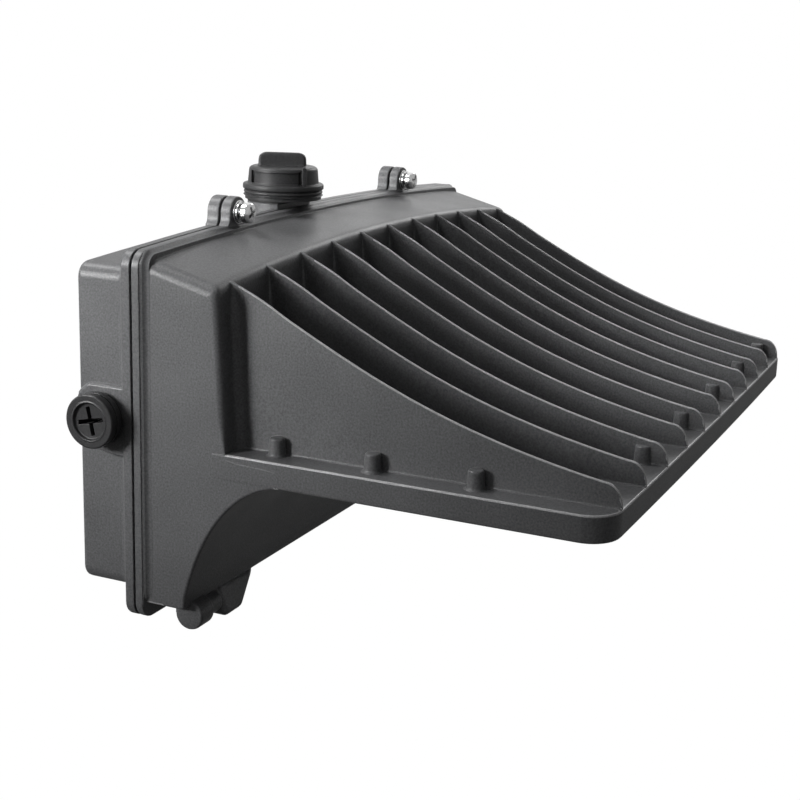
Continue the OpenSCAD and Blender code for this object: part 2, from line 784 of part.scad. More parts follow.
module ground_screw() {
    color("limegreen") translate([ground_x, -wall_t - ground_boss_h - ring_t, ground_z])
        rotate([90, 0, 0]) pan_screw(ground_screw_r, ground_boss_h + ring_t, ground_head_r,
            ground_head_t);
}

// Ring terminal under the ground screw and its lead to the right-hand connector
module ground_lead() {
    ring_d = wall_t + ground_boss_h;
    ring_r = ground_head_r + seat_gap;
    tongue_x = ground_x - ground_boss_r - ring_t;
    color("green") {
        difference() {
            union() {
                rod_y(ground_x, ground_z, ring_d, ring_d + ring_t, ring_r);
                block(tongue_x, ground_x, ring_d, ring_d + ring_t, ground_z - mains_r,
                    ground_z + mains_r);
            }
            rod_y(ground_x, ground_z, ring_d - over, ring_d + ring_t + over,
                ground_screw_r + seat_gap);
        }
        wire([[tongue_x + ring_t / 2, -ring_d - ring_t / 2, ground_z],
            [tongue_x - ring_r, -ring_d - ring_t / 2, ground_z],
            [tongue_x - 2 * ring_r, -ring_d - ring_t, ground_z / 2],
            [socket_x + socket_w, -ring_d - ring_t, entry_z / 2],
            [nut_x(2) + nut_pitch, -ring_d - lead_step, entry_z / 2],
            [nut_x(2), 2 * mains_r - wire_d, 0],
            [nut_x(2), 2 * mains_r - wire_d, nut_top_z]], mains_r);
    }
}

// The cover's outline seen from the side, without its arched top
function cover_profile() = concat(
    [[-seam_d, 2 * rim_top], [-face_at(2 * rim_top), 2 * rim_top],
        [-face_foot_d, -tray_drop], [-face_foot_d, -pocket_top],
        [-cove_d, -pocket_top]],
    [for (k = [0:curve_steps]) cove_point(k / curve_steps)],
    [[-seam_d, -cover_foot]]);

// The hollow inside it, open towards the wall
function cover_hollow() = concat(
    [[over - seam_d, 2 * rim_top], [wall_t - face_at(2 * rim_top), 2 * rim_top],
        [-cover_inner_d, -tray_drop]],
    [for (k = [curve_steps / 2:curve_steps]) cove_inner(k / curve_steps)],
    [[over - seam_d, wall_t - cover_foot]]);

// The arched shoulder between the rim and the front edge, moved in by an inset
module shoulder(inset) {
    half = block_half - inset;
    r = block_corner - inset / 2;
    hull() {
        along_y(seam_d - over, seam_d) polygon(arched(half, block_top - inset,
            cover_foot - inset, arch_rise, r));
        along_y(shoulder_d, cove_d + over) polygon(arched(half, shoulder_top - inset,
            cover_foot - inset, shoulder_rise, r));
    }
}

// Plan of the tray, from a depth to the front edge, moved in by an inset
function tray_plan(from, inset, r) =
    let (half = block_half - inset, c = half - r, d = front_at(c) - inset)
    concat(
        [[-half, -from]],
        arc(-c, r - d, r, 180, 270),
        [for (k = [1:arch_steps - 1])
            let (x = c * (2 * k / arch_steps - 1)) [x, inset - front_at(x)]],
        arc(c, r - d, r, 270, 360),
        [[half, -from]]);

module tray() {
    intersection() {
        translate([0, 0, -2 * tray_foot]) linear_extrude(2 * tray_foot + tray_crown)
            polygon(tray_plan(face_foot_d - wall_t / 2, 0, tray_corner));
        along_y(block_d, tray_d + over) polygon(concat(
            [for (k = [0:arch_steps]) let (x = block_half * (2 * k / arch_steps - 1))
                [x, tray_top_at(x)]],
            [for (k = [arch_steps:-1:0]) let (x = block_half * (2 * k / arch_steps - 1))
                [x, tray_top_at(x) - tray_h]]));
    }
}

// One fin at x: a curved profile cut by a wedge that thins it towards its top
module fin(x) {
    foot_z = tray_top_at(x) - plate_t / 2;
    start = [-face_at(fin_start_z(x)), fin_start_z(x) - over / 2];
    nose_d = front_at(x) - fin_inset;
    nose = [fin_nose_l - nose_d, tray_top_at(x) + fin_nose_h];
    intersection() {
        along_x(x - fin_root_t, x + fin_root_t) polygon(concat(
            [[start.x + wall_t / 2, foot_z], [start.x + wall_t / 2, start.y]],
            [for (k = [0:curve_steps])
                curve_at(start, nose, fin_handle_shares, k / curve_steps)],
            [for (k = [1:corner_steps]) let (a = 90 * k / corner_steps)
                [nose.x - fin_nose_l * sin(a),
                    nose.y - fin_nose_h * (1 - cos(a))]],
            [[-nose_d, foot_z]]));
        along_y(block_d - wall_t, tray_d) polygon([
            [x - fin_root_t / 2, foot_z], [x - fin_tip_t / 2, block_top],
            [x + fin_tip_t / 2, block_top], [x + fin_root_t / 2, foot_z]]);
    }
}

module fins() {
    for (i = [0:fin_count - 1]) fin((i - (fin_count - 1) / 2) * fin_pitch);
}

// Bosses above the tray and their pads below it
module lens_bosses() {
    for (p = lens_screw_places) {
        translate([p.x, p.y, -pocket_top]) cylinder(r = boss_r,
            h = pocket_top + tray_top_at(p.x) + boss_h);
        translate([p.x, p.y, -frame_z]) cylinder(r = boss_r, h = frame_z - pocket_top + over);
    }
}

// Front ear that the cover screw passes through
module front_screw_ear() {
    foot = crest(screw_x, rim_half, rim_top, arch_rise) - cover_top_step - over;
    rod_y(screw_x, screw_z, seam_d, front_ear_d, screw_ear_r);
    block(screw_x - screw_ear_r, screw_x + screw_ear_r, seam_d, front_ear_d, foot, screw_z);
}

// Two lugs of one hinge, on either side of the rear housing's knuckle
module hinge_lugs() {
    rise = wall_t / 2;
    rod_x(-hinge_d, -hinge_z, ear_in, ear_out, ear_r);
    block(ear_in, ear_out, hinge_d - ear_r, foot_d, -hinge_z, rise - cover_foot);
    intersection() {
        along_x(lug_in, lug_out) polygon([
            [-lug_back_d, rise - cover_foot], [-lug_top_d, rise - cover_foot],
            [-lug_front_d, -lug_foot], [-lug_back_d, -lug_foot]]);
        along_y(lug_back_d - over, lug_front_d + over) polygon([
            [lug_in, over - cover_foot], [lug_out, 2 * rise - cover_foot],
            [lug_out, -lug_foot], [lug_out - lug_foot_w, -lug_foot]]);
    }
}

module front_cover() {
    color([0.30, 0.30, 0.31]) difference() {
        union() {
            difference() {
                union() {
                    along_y(seam_d, cover_rim_d) polygon(rim_ring(0));
                    intersection() {
                        along_x(-block_half, block_half) polygon(cover_profile());
                        shoulder(0);
                    }
                    tray();
                }
                intersection() {
                    along_x(wall_t - block_half, block_half - wall_t)
                        polygon(cover_hollow());
                    shoulder(wall_t);
                }
                translate([0, 0, -2 * tray_foot])
                    linear_extrude(2 * tray_foot - pocket_top)
                        polygon(tray_plan(pocket_d, skirt_t, tray_corner - skirt_t));
            }
            fins();
            lens_bosses();
            both_sides() front_screw_ear();
            both_sides() hinge_lugs();
            driver_seat();
        }
        // Clearance for the rear housing's knuckles and arms, and the hinge pin holes
        both_sides() rod_x(-hinge_d, -hinge_z, knuckle_in - knuckle_gap,
            knuckle_out + knuckle_gap, notch_r);
        both_sides() block(knuckle_in - knuckle_gap, knuckle_out + knuckle_gap,
            seam_d - over, cover_rim_d + over, -rim_foot - over, -notch_top);
        both_sides() rod_x(-hinge_d, -hinge_z, lug_in - over, pin_out, pin_r - press);
        // Cover screws
        both_sides() rod_y(screw_x, screw_z, seam_d - over, front_ear_d + over,
            screw_r + turn_gap);
        // Lens frame screws, driver screws and board screws
        for (p = lens_screw_places) translate([p.x, p.y, -frame_z - over])
            cylinder(r = lens_tap_r, h = frame_z + over - tray_drop + lens_tap_h);
        both_sides() rod_y(driver_l / 2 + driver_tab_l / 2, driver_mid_z,
            driver_seat_d - over, driver_seat_d + driver_screw_l, driver_tap_r);
        for (p = board_screw_places) translate([p.x, p.y, -pocket_top - over])
            cylinder(r = board_screw_r - seat_gap, h = board_screw_l + over);
        // Passage for the light unit's leads
        rod_y(led_lead_x, -led_lead_z, cover_inner_d - 2 * wall_t, pocket_d + over,
            grommet_r + seat_gap);
    }
}

// Flat seat for the driver on the inside of the front wall
module driver_seat() {
    half = driver_l / 2 + driver_tab_l;
    low = driver_mid_z - driver_h / 2;
    along_x(-half, half) polygon([
        [-driver_seat_d, low], [-driver_seat_d, low + driver_h],
        [over - face_at(low + driver_h), low + driver_h], [over - face_at(low), low]]);
}

module hinge_pins() {
    color("silver") both_sides()
        rod_x(-hinge_d, -hinge_z, pin_in, pin_out, pin_r);
}

module led_driver() {
    low = driver_mid_z - driver_h / 2;
    color("gainsboro") difference() {
        union() {
            block(-driver_l / 2, driver_l / 2, driver_seat_d - driver_t, driver_seat_d,
                low, low + driver_h);
            block(-driver_l / 2 - driver_tab_l, driver_l / 2 + driver_tab_l,
                driver_seat_d - driver_tab_t, driver_seat_d,
                driver_mid_z - driver_tab_h / 2, driver_mid_z + driver_tab_h / 2);
        }
        both_sides() rod_y(driver_l / 2 + driver_tab_l / 2, driver_mid_z,
            driver_seat_d - driver_tab_t - over, driver_seat_d + over,
            driver_screw_r + seat_gap);
    }
}

module driver_screws() {
    color("silver") both_sides()
        translate([driver_l / 2 + driver_tab_l / 2, driver_tab_t - driver_seat_d,
            driver_mid_z])
            rotate([-90, 0, 0]) pan_screw(driver_tap_r - seat_gap / 2,
                driver_tab_t + driver_screw_l - over, driver_head_r, driver_head_t);
}

// Mains leads from the driver's left end to the plug
module driver_leads() {
    colors = ["black", "white", "green"];
    start_d = driver_seat_d - driver_t / 2;
    for (i = [0:2]) color(colors[i]) let (step = (i - 1) * lead_step,
        y = -driver_plug_d - socket_t / 2, turn = -driver_l / 2 - 2 * driver_tab_l - step)
        wire([[-driver_l / 2, -start_d, driver_mid_z + step],
            [turn, -start_d, driver_mid_z + step], [turn, y, 0],
            [turn, y, socket_z - step], [-driver_l / 4, y, socket_z - step],
            [0, y, socket_z - (i - 1) * lead_pitch],
            [socket_x - socket_w / 2, y, socket_z - (i - 1) * lead_pitch]], mains_r);
}

module driver_plug() {
    color("ivory") block(socket_x - socket_w / 2, socket_x + socket_w / 2, driver_plug_d,
        driver_plug_d + socket_t, socket_z - socket_h / 2, socket_z + socket_h / 2);
}

// Low voltage leads from the driver's right end to the board
module led_leads() {
    colors = ["red", "black"];
    start_d = driver_seat_d - driver_t / 2;
    for (i = [0:1]) color(colors[i]) let (side = (i - 0.5) * low_pitch,
        x = led_lead_x + side, turn = driver_l / 2 + driver_tab_l + side,
        z = driver_mid_z + side, lift = (1 - i) * 2 * low_pitch)
        wire([[driver_l / 2, -start_d, z], [turn, -start_d, z],
            [turn, -start_d, z / 2], [turn, -start_d, lift - led_lead_z],
            [x, driver_tab_l - cover_inner_d, lift - led_lead_z],
            [x, grommet_run - cover_inner_d, -led_lead_z],
            [x, -cover_inner_d, -led_lead_z], [x, -board_back_d, -led_lead_z]], low_r);
}

module lead_grommet() {
    flange_d = cover_inner_d - grommet_flange_t - grommet_seat;
    color([0.05, 0.05, 0.05]) difference() {
        union() {
            rod_y(led_lead_x, -led_lead_z, flange_d, pocket_d - over, grommet_r);
            rod_y(led_lead_x, -led_lead_z, flange_d, flange_d + grommet_flange_t,
                grommet_flange_r);
        }
        rod_y(led_lead_x, -led_lead_z, flange_d - over, pocket_d + over, grommet_bore_r);
    }
}

// Rectangle with round corners, centred on the light window
module window_plate(w, d, r, z_low, z_high) {
    x = w / 2 - r;
    y = d / 2 - r;
    translate([0, -window_mid_d, -z_low]) linear_extrude(z_low - z_high)
        polygon(concat(arc(x, y, r, 0, 90), arc(-x, y, r, 90, 180),
            arc(-x, -y, r, 180, 270), arc(x, -y, r, 270, 360)));
}

board_w = window_w - 2 * board_inset;
board_d = window_d - 2 * board_inset;
board_back_d = window_mid_d - board_d / 2;
board_screw_places = [for (x = [-1, 1], y = [-1, 1])
    [x * (board_w / 2 - board_inset), y * (board_d / 2 - board_inset) - window_mid_d]];

module led_board() {
    color("white") difference() {
        window_plate(board_w, board_d, board_t, pocket_top + board_t, pocket_top);
        for (p = board_screw_places) translate([p.x, p.y, -pocket_top - 2 * board_t])
            cylinder(r = board_screw_r + seat_gap, h = 3 * board_t);
    }
}

module led_chips() {
    pitch_x = board_w / (chip_count + 1);
    pitch_y = board_d / (chip_rows + 0.5);
    color("khaki") for (i = [1:chip_count], j = [1:chip_rows])
        translate([i * pitch_x - board_w / 2 - chip_w / 2,
            (j - (chip_rows + 1) / 2) * pitch_y - window_mid_d - chip_w / 2,
            -pocket_top - board_t - chip_t])
            cube([chip_w, chip_w, chip_t]);
}

module board_screws() {
    color("silver") for (p = board_screw_places)
        translate([p.x, p.y, -pocket_top - board_t]) mirror([0, 0, 1])
            pan_screw(board_screw_r - 2 * seat_gap, board_t + board_screw_l - seat_gap,
                board_head_r, board_head_t);
}

module lens_gasket() {
    color([0.85, 0.85, 0.85]) difference() {
        window_plate(window_w + 2 * lens_lap, window_d + 2 * lens_lap, lens_corner,
            lens_z, pocket_top);
        window_plate(window_w + 2 * lens_lap - 2 * lens_seal_w,
            window_d + 2 * lens_lap - 2 * lens_seal_w, lens_corner - lens_seal_w / 2,
            lens_z + over, pocket_top - over);
        rod_y(led_lead_x, -led_lead_z, pocket_d, window_mid_d, grommet_r);
    }
}

module lens_panel() {
    color([0.85, 0.88, 0.90, 0.5]) window_plate(window_w + 2 * lens_lap,
        window_d + 2 * lens_lap, lens_corner, frame_z, lens_z);
}

// Frame under the tray with the light window in it
module lens_frame() {
    inset = skirt_t + frame_gap;
    color([0.28, 0.28, 0.29]) difference() {
        translate([0, 0, -frame_foot]) linear_extrude(frame_t)
            polygon(tray_plan(pocket_d + frame_gap, inset, tray_corner - inset));
        window_plate(window_w, window_d, lens_corner, frame_foot + over, frame_z - over);
        for (p = lens_screw_places) translate([p.x, p.y, -frame_foot]) {
            translate([0, 0, -over]) cylinder(r = lens_screw_r + seat_gap,
                h = frame_t + 2 * over);
            cylinder(r1 = lens_head_r + seat_gap, r2 = lens_screw_r + seat_gap,
                h = frame_t - over / 2);
        }
    }
}

module lens_screws() {
    slot = lens_head_r / 4;
    color("silver") for (p = lens_screw_places) translate([p.x, p.y, -frame_foot])
        difference() {
            union() {
                cylinder(r1 = lens_head_r, r2 = lens_screw_r, h = frame_t - over / 2);
                cylinder(r = lens_tap_r - seat_gap / 2, h = frame_t + lens_tap_h);
            }
            for (a = [0, 90]) rotate([0, 0, a])
                translate([-lens_head_r / 2, -slot / 2, -over])
                    cube([lens_head_r, slot, over + slot]);
        }
}

module flat_washers() {
    color("silver") both_sides() difference() {
        rod_y(screw_x, screw_z, front_ear_d, front_ear_d + flat_t, washer_r);
        rod_y(screw_x, screw_z, front_ear_d - over, front_ear_d + flat_t + over,
            screw_r + seat_gap);
    }
}

module spring_washers() {
    back = front_ear_d + flat_t;
    color("silver") both_sides() difference() {
        rod_y(screw_x, screw_z, back, back + spring_t, spring_r);
        rod_y(screw_x, screw_z, back - over, back + spring_t + over, screw_r + seat_gap);
        block(screw_x - spring_slit / 2, screw_x + spring_slit / 2, back - over,
            back + spring_t + over, screw_z, screw_z + spring_r + over);
    }
}

module cover_screw() {
    translate([screw_x, -head_d, screw_z]) rotate([90, 0, 0])
        pan_screw(screw_r, head_d - housing_d + screw_bite, screw_head_r, screw_head_h);
}
module cover_screw_left() {
    color("silver") mirror([1, 0, 0]) cover_screw();
}
module cover_screw_right() {
    color("silver") cover_screw();
}

rear_housing();
housing_gasket();
plug_seals();
conduit_plug_left();
conduit_plug_right();
receptacle_gasket();
photocell_receptacle();
receptacle_nut();
photocell_cap();
photocell_leads();
wire_connectors();
supply_leads();
supply_socket();
ground_screw();
ground_lead();
front_cover();
hinge_pins();
led_driver();
driver_screws();
driver_leads();
driver_plug();
led_leads();
lead_grommet();
led_board();
led_chips();
board_screws();
lens_gasket();
lens_panel();
lens_frame();
lens_screws();
flat_washers();
spring_washers();
cover_screw_left();
cover_screw_right();
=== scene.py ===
import bpy
import bmesh
import math
from mathutils import Matrix, Vector
from mathutils.geometry import tessellate_polygon


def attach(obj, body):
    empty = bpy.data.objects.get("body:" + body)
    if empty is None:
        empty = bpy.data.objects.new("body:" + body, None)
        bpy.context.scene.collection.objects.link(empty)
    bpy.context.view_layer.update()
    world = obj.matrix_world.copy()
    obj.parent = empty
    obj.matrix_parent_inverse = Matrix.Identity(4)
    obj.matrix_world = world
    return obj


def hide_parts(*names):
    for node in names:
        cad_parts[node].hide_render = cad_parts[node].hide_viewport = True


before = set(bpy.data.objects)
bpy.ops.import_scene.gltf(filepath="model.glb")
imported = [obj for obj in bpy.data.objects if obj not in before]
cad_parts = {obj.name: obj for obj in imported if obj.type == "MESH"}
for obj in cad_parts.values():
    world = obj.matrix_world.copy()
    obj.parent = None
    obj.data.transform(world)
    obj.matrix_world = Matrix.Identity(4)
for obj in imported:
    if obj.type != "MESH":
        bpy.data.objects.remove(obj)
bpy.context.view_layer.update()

# Sizes in mm, as in the CAD: x to the right, d out from the wall, z up from the plugs' axis
MM = 0.001

# Rim where the two castings meet
RIM_HALF = 176.0
RIM_TOP = 82.0
RIM_FOOT = 94.2
RISE = 5.2  # how far the arched top falls from its middle to its ends
CORNER = 8.0
SEAL_FOOT = 87.2
HOUSING_D = 29.6
SEAM_D = 30.5
COVER_RIM_D = 34.4
WALL = 3.0

# Box of the rear housing, behind the rim
BOX_HALF = 173.5
BOX_TOP = 74.0
BOX_FOOT = 80.7
BOX_CORNER = 7.0

# Body of the cover: a block with a leaning front wall, over a cove that runs back to the foot
HALF = 173.6
BLOCK_TOP = 80.4
BLOCK_CORNER = 5.6
BLOCK_D = 71.9
LEAN = 5.0
FACE_D = BLOCK_D + LEAN  # where the front wall meets the tray
SHOULDER_TOP = 72.1
SHOULDER_RISE = 9.3
SHOULDER_D = 79.3
COVE_D = 103.6
FOOT = 86.0
FOOT_D = 54.1

# Tray under the fins, with the pocket for the lens in its underside
TRAY_DROP = 8.6
TRAY_FOOT = 20.6
TRAY_BACK_D = 70.0
TRAY_D = 254.6
TRAY_BOW = 3.0
TRAY_PROUD = 0.01
CROWN = 2.4
PLAN_R = 14.0
SKIRT = 4.0
POCKET_TOP = 11.6
POCKET_FOOT = 60.0
POCKET_D = 89.6

# Fins
FINS = 11
FIN_HALF = HALF - 13.6
PITCH = 2 * FIN_HALF / (FINS - 1)

# Hinge, cover screws, photocell and conduit plugs
HINGE_D = 54.0
HINGE_Z = 90.4
ARM_X = (146.6, 156.5)
SCREW_X = 94.5
SCREW_UP = 5.5
CELL_X = 27.0
CELL_D = 22.9
PLUG_D = 13.3
PLUG_BORE_R = 9.95


def crest(x, half, top, rise):
    """Height at x of an arched top that falls by rise from its middle to half."""
    return top - rise * (x / half) ** 2


RIM_AT_SCREW = crest(SCREW_X, RIM_HALF, RIM_TOP, RISE)
SCREW_Z = RIM_AT_SCREW + SCREW_UP


def curve_at(start, end, bend, t):
    """Point at t on a cubic curve whose two handles are given as shares of its span."""
    span = (end[0] - start[0], end[1] - start[1])
    u = 1 - t
    a, b, c, d = u * u * u, 3 * u * u * t, 3 * u * t * t, t * t * t
    return tuple(a * start[i] + b * (start[i] + span[i] * bend[0][i])
                 + c * (start[i] + span[i] * bend[1][i]) + d * end[i] for i in (0, 1))


def top_at(x, d, drop=0.0):
    """Height of the cover's arched top, which falls and arches more towards the shoulder."""
    s = (d - SEAM_D) / (SHOULDER_D - SEAM_D)
    return crest(x, HALF, BLOCK_TOP + (SHOULDER_TOP - BLOCK_TOP) * s,
                 RISE + (SHOULDER_RISE - RISE) * s) - drop


def face_at(z):
    """Depth of the cover's leaning front wall at height z."""
    return BLOCK_D + LEAN * (SHOULDER_TOP - z) / (SHOULDER_TOP + TRAY_DROP)


def front_at(x):
    """Depth of the tray's bowed front edge at x."""
    return TRAY_D - TRAY_BOW * (x / HALF) ** 2


def crown_at(x):
    return CROWN * (1 - (x / HALF) ** 2)


def tray_top(x):
    return crown_at(x) - TRAY_DROP


# Outlines
def arc(cx, cz, r, a0, a1, n, skip0=0, skip1=0):
    """Points of an arc in n steps from angle a0 to a1, less some at its start and end."""
    out = []
    for k in range(skip0, n + 1 - skip1):
        a = math.radians(a0 + (a1 - a0) * k / n)
        out.append((cx + r * math.cos(a), cz + r * math.sin(a)))
    return out


def arched(half, top, foot, rise, r, steps=28, turns=7):
    """A closed outline with an arched top, a flat foot and four round corners."""
    c = half - r
    sh = crest(c, half, top, rise) - r
    xs = [c * (2 * k / steps - 1) for k in range(steps + 1)]
    pts = [(x, crest(x, half, top, rise)) for x in xs]
    pts += arc(c, sh, r, 90, 0, turns, 1, 0)
    pts += arc(c, r - foot, r, 0, -90, turns)
    pts += arc(-c, r - foot, r, -90, -180, turns)
    pts += arc(-c, sh, r, 180, 90, turns, 0, 1)
    return pts


def rim(inset):
    return arched(RIM_HALF - inset, RIM_TOP - inset, RIM_FOOT - inset, RISE, CORNER - inset)


def seal(inset):
    return arched(RIM_HALF - inset, RIM_TOP - inset, SEAL_FOOT - inset, RISE, CORNER - inset)


def box_ring(grow):
    return arched(BOX_HALF + grow, BOX_TOP + grow, BOX_FOOT + grow, RISE, BOX_CORNER + grow)


def around(grow, drop=0.0):
    """Outline of the cover's block where it leaves the rim."""
    return arched(HALF + grow, BLOCK_TOP + grow - drop, FOOT + grow, RISE, BLOCK_CORNER + grow)


def at_d(pts, d):
    return [(x, -d, z) for x, z in pts]


# Mesh parts: each is a pair of vertices and faces in mm
def loft(rings, ends="flat"):
    """Skin closed rings of equal length. The ends are one flat face, filled, or open."""
    n = len(rings[0])
    verts = [p for r in rings for p in r]
    faces = []
    for i in range(len(rings) - 1):
        for j in range(n):
            k = (j + 1) % n
            faces.append((i * n + j, i * n + k, (i + 1) * n + k, (i + 1) * n + j))
    last = (len(rings) - 1) * n
    for base, ring in ((0, rings[0]), (last, rings[-1])):
        if ends == "filled":
            faces += [tuple(base + i for i in t) for t in tessellate_polygon([[Vector(p) for p in ring]])]
        elif ends == "flat":
            faces.append(tuple(base + j for j in range(n)))
    return verts, faces


def lathe(profile, n=64, axis="z", at=(0, 0, 0), sign=1):
    """Turn (radius, height) pairs, which start and end on the axis or close on themselves."""
    verts, faces, rows = [], [], []
    for r, h in profile:
        if r < 1e-6:
            rows.append([len(verts)])
            verts.append((0, 0, h))
        else:
            rows.append(list(range(len(verts), len(verts) + n)))
            turns = [2 * math.pi * k / n for k in range(n)]
            verts += [(r * math.cos(a), r * math.sin(a), h) for a in turns]
    for a, b in zip(rows, rows[1:]):
        for k in range(n):
            q = (k + 1) % n
            if len(a) == 1 and len(b) == 1:
                continue
            if len(a) == 1:
                faces.append((a[0], b[k], b[q]))
            elif len(b) == 1:
                faces.append((a[k], a[q], b[0]))
            else:
                faces.append((a[k], a[q], b[q], b[k]))
    out = []
    for x, y, z in verts:
        p = {"x": (sign * z, x, y), "y": (x, sign * z, y), "z": (x, y, sign * z)}[axis]
        out.append((p[0] + at[0], p[1] + at[1], p[2] + at[2]))
    return out, faces


def rod(r, start, end, n, axis="z", at=(0, 0, 0), sign=1):
    return lathe([(0, start), (r, start), (r, end), (0, end)], n, axis, at, sign)


def read_out(bm):
    """Turn a bmesh into a mesh part, and free it."""
    out = ([tuple(v.co) for v in bm.verts], [tuple(v.index for v in f.verts) for f in bm.faces])
    bm.free()
    return out


def bevel_all(bm, r, segments):
    if r:
        bmesh.ops.bevel(bm, geom=bm.edges[:], offset=r, segments=segments, affect="EDGES", profile=0.5)


def rounded_box(x0, x1, y0, y1, z0, z1, r, segments=3):
    bm = bmesh.new()
    bmesh.ops.create_cube(bm, size=1)
    for v in bm.verts:
        v.co = Vector(((x0 + x1) / 2 + v.co.x * (x1 - x0), (y0 + y1) / 2 + v.co.y * (y1 - y0),
                       (z0 + z1) / 2 + v.co.z * (z1 - z0)))
    bevel_all(bm, r, segments)
    return read_out(bm)


def hull(points, r, segments=3):
    """The convex form round some corner points, with rounded edges."""
    bm = bmesh.new()
    for p in points:
        bm.verts.new(p)
    bmesh.ops.convex_hull(bm, input=bm.verts[:])
    bmesh.ops.dissolve_limit(bm, angle_limit=0.02, verts=bm.verts[:], edges=bm.edges[:])
    bevel_all(bm, r, segments)
    bm.verts.index_update()
    return read_out(bm)


def both(part):
    """A part and its mirror image on the other side."""
    verts, faces = part
    return [part, ([(-x, y, z) for x, y, z in verts], [tuple(reversed(f)) for f in faces])]


# Objects
def mesh_of(name, parts):
    verts, faces = [], []
    for v, f in parts:
        base = len(verts)
        verts += [(a * MM, b * MM, c * MM) for a, b, c in v]
        faces += [tuple(i + base for i in q) for q in f]
    me = bpy.data.meshes.new(name)
    me.from_pydata(verts, [], faces)
    bm = bmesh.new()
    bm.from_mesh(me)
    bmesh.ops.recalc_face_normals(bm, faces=bm.faces[:])
    bm.to_mesh(me)
    bm.free()
    me.update()
    return me


def linked(name, data):
    o = bpy.data.objects.new(name, data)
    bpy.context.scene.collection.objects.link(o)
    return o


def solid(name, *parts):
    return linked(name, mesh_of(name, parts))


def bake(o):
    """Apply the modifiers of an object."""
    dg = bpy.context.evaluated_depsgraph_get()
    me = bpy.data.meshes.new_from_object(o.evaluated_get(dg))
    o.modifiers.clear()
    old = o.data
    o.data = me
    bpy.data.meshes.remove(old)


def cut(o, *cutters):
    """Take the cutters out of an object, and remove them."""
    for k, c in enumerate(cutters):
        c.hide_render = True
        m = o.modifiers.new("cut%d" % k, "BOOLEAN")
        m.operation = "DIFFERENCE"
        m.solver = "MANIFOLD"
        m.object = c
    bake(o)
    for c in cutters:
        bpy.data.objects.remove(c)
    return o


def join(name, objects):
    bm = bmesh.new()
    for o in objects:
        bm.from_mesh(o.data)
    me = bpy.data.meshes.new(name)
    bm.to_mesh(me)
    bm.free()
    for o in objects:
        bpy.data.objects.remove(o)
    return linked(name, me)


def soften(o, degrees=40):
    """Smooth shading that keeps the edges sharper than some degrees, and flat faces flat."""
    for p in o.data.polygons:
        p.use_smooth = True
    o.data.set_sharp_from_angle(angle=math.radians(degrees))
    m = o.modifiers.new("normals", "WEIGHTED_NORMAL")
    m.keep_sharp = True
    m.weight = 60
    m.mode = "FACE_AREA"


def dress(o, body, mat, node):
    """Give a piece its body and its material, and hide the CAD node that it stands for."""
    o.data.materials.clear()
    o.data.materials.append(mat)
    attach(o, body)
    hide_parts(node)


# Material tools
def material(name):
    m = bpy.data.materials.new(name)
    m.use_nodes = True
    nt = m.node_tree
    return m, nt, nt.nodes["Principled BSDF"]


def add(nt, kind, values=None, **settings):
    """Add a node, with its settings and the values of its sockets."""
    n = nt.nodes.new(kind)
    for k, v in settings.items():
        setattr(n, k, v)
    for k, v in (values or {}).items():
        n.inputs[k].default_value = v
    return n


def noise_at(nt, scale, detail=3.0, rough=0.5):
    co = add(nt, "ShaderNodeTexCoord")
    n = add(nt, "ShaderNodeTexNoise", {"Scale": scale, "Detail": detail, "Roughness": rough})
    nt.links.new(co.outputs["Object"], n.inputs["Vector"])
    return n


def ramp(nt, src, stops, **settings):
    """A colour ramp with (position, grey or colour) stops."""
    r = add(nt, "ShaderNodeValToRGB")
    for k, v in settings.items():
        setattr(r.color_ramp, k, v)
    el = r.color_ramp.elements
    while len(el) < len(stops):
        el.new(0.5)
    for e, (p, c) in zip(el, stops):
        e.position = p
        e.color = (c, c, c, 1) if isinstance(c, float) else (c[0], c[1], c[2], 1)
    nt.links.new(src, r.inputs[0])
    return r


def math_on(nt, operation, first, second):
    """A math node on two sockets, or on a socket and a number."""
    n = add(nt, "ShaderNodeMath", operation=operation)
    nt.links.new(first, n.inputs[0])
    if isinstance(second, float):
        n.inputs[1].default_value = second
    else:
        nt.links.new(second, n.inputs[1])
    return n.outputs[0]


def coated(name, dark, light, rough, grain, bump, depth=0.00012, fillet=0.0, metal=0.0,
           blotch=30.0, spec=0.5):
    """A coated, moulded or cast surface: two tones in broad patches, and a fine grain."""
    m, nt, b = material(name)
    broad = noise_at(nt, blotch, 4.0, 0.55)
    fine = noise_at(nt, grain, 2.0, 0.6)
    fine_share = 0.78
    mixed = add(nt, "ShaderNodeMix", {0: fine_share}, data_type="FLOAT")
    nt.links.new(broad.outputs["Fac"], mixed.inputs[2])
    nt.links.new(fine.outputs["Fac"], mixed.inputs[3])
    colour = ramp(nt, mixed.outputs[0], [(0.32, dark), (0.68, light)])
    nt.links.new(colour.outputs[0], b.inputs["Base Color"])
    gloss = ramp(nt, broad.outputs["Fac"], [(0.3, rough[0]), (0.7, rough[1])])
    nt.links.new(gloss.outputs[0], b.inputs["Roughness"])
    b.inputs["Metallic"].default_value = metal
    b.inputs["Specular IOR Level"].default_value = spec
    dents = add(nt, "ShaderNodeBump", {"Strength": bump, "Distance": depth})
    nt.links.new(fine.outputs["Fac"], dents.inputs["Height"])
    if fillet:
        edge = add(nt, "ShaderNodeBevel", {"Radius": fillet}, samples=6)
        nt.links.new(edge.outputs[0], dents.inputs["Normal"])
    nt.links.new(dents.outputs[0], b.inputs["Normal"])
    return m


def steel(name, tone, rough):
    """Bare or plated metal with a fine brushed grain."""
    dark = tuple(t * 0.82 for t in tone)
    return coated(name, dark, tone, (rough * 0.7, rough * 1.3), 900.0, 0.08, 0.00004, metal=1.0,
                  blotch=60.0)


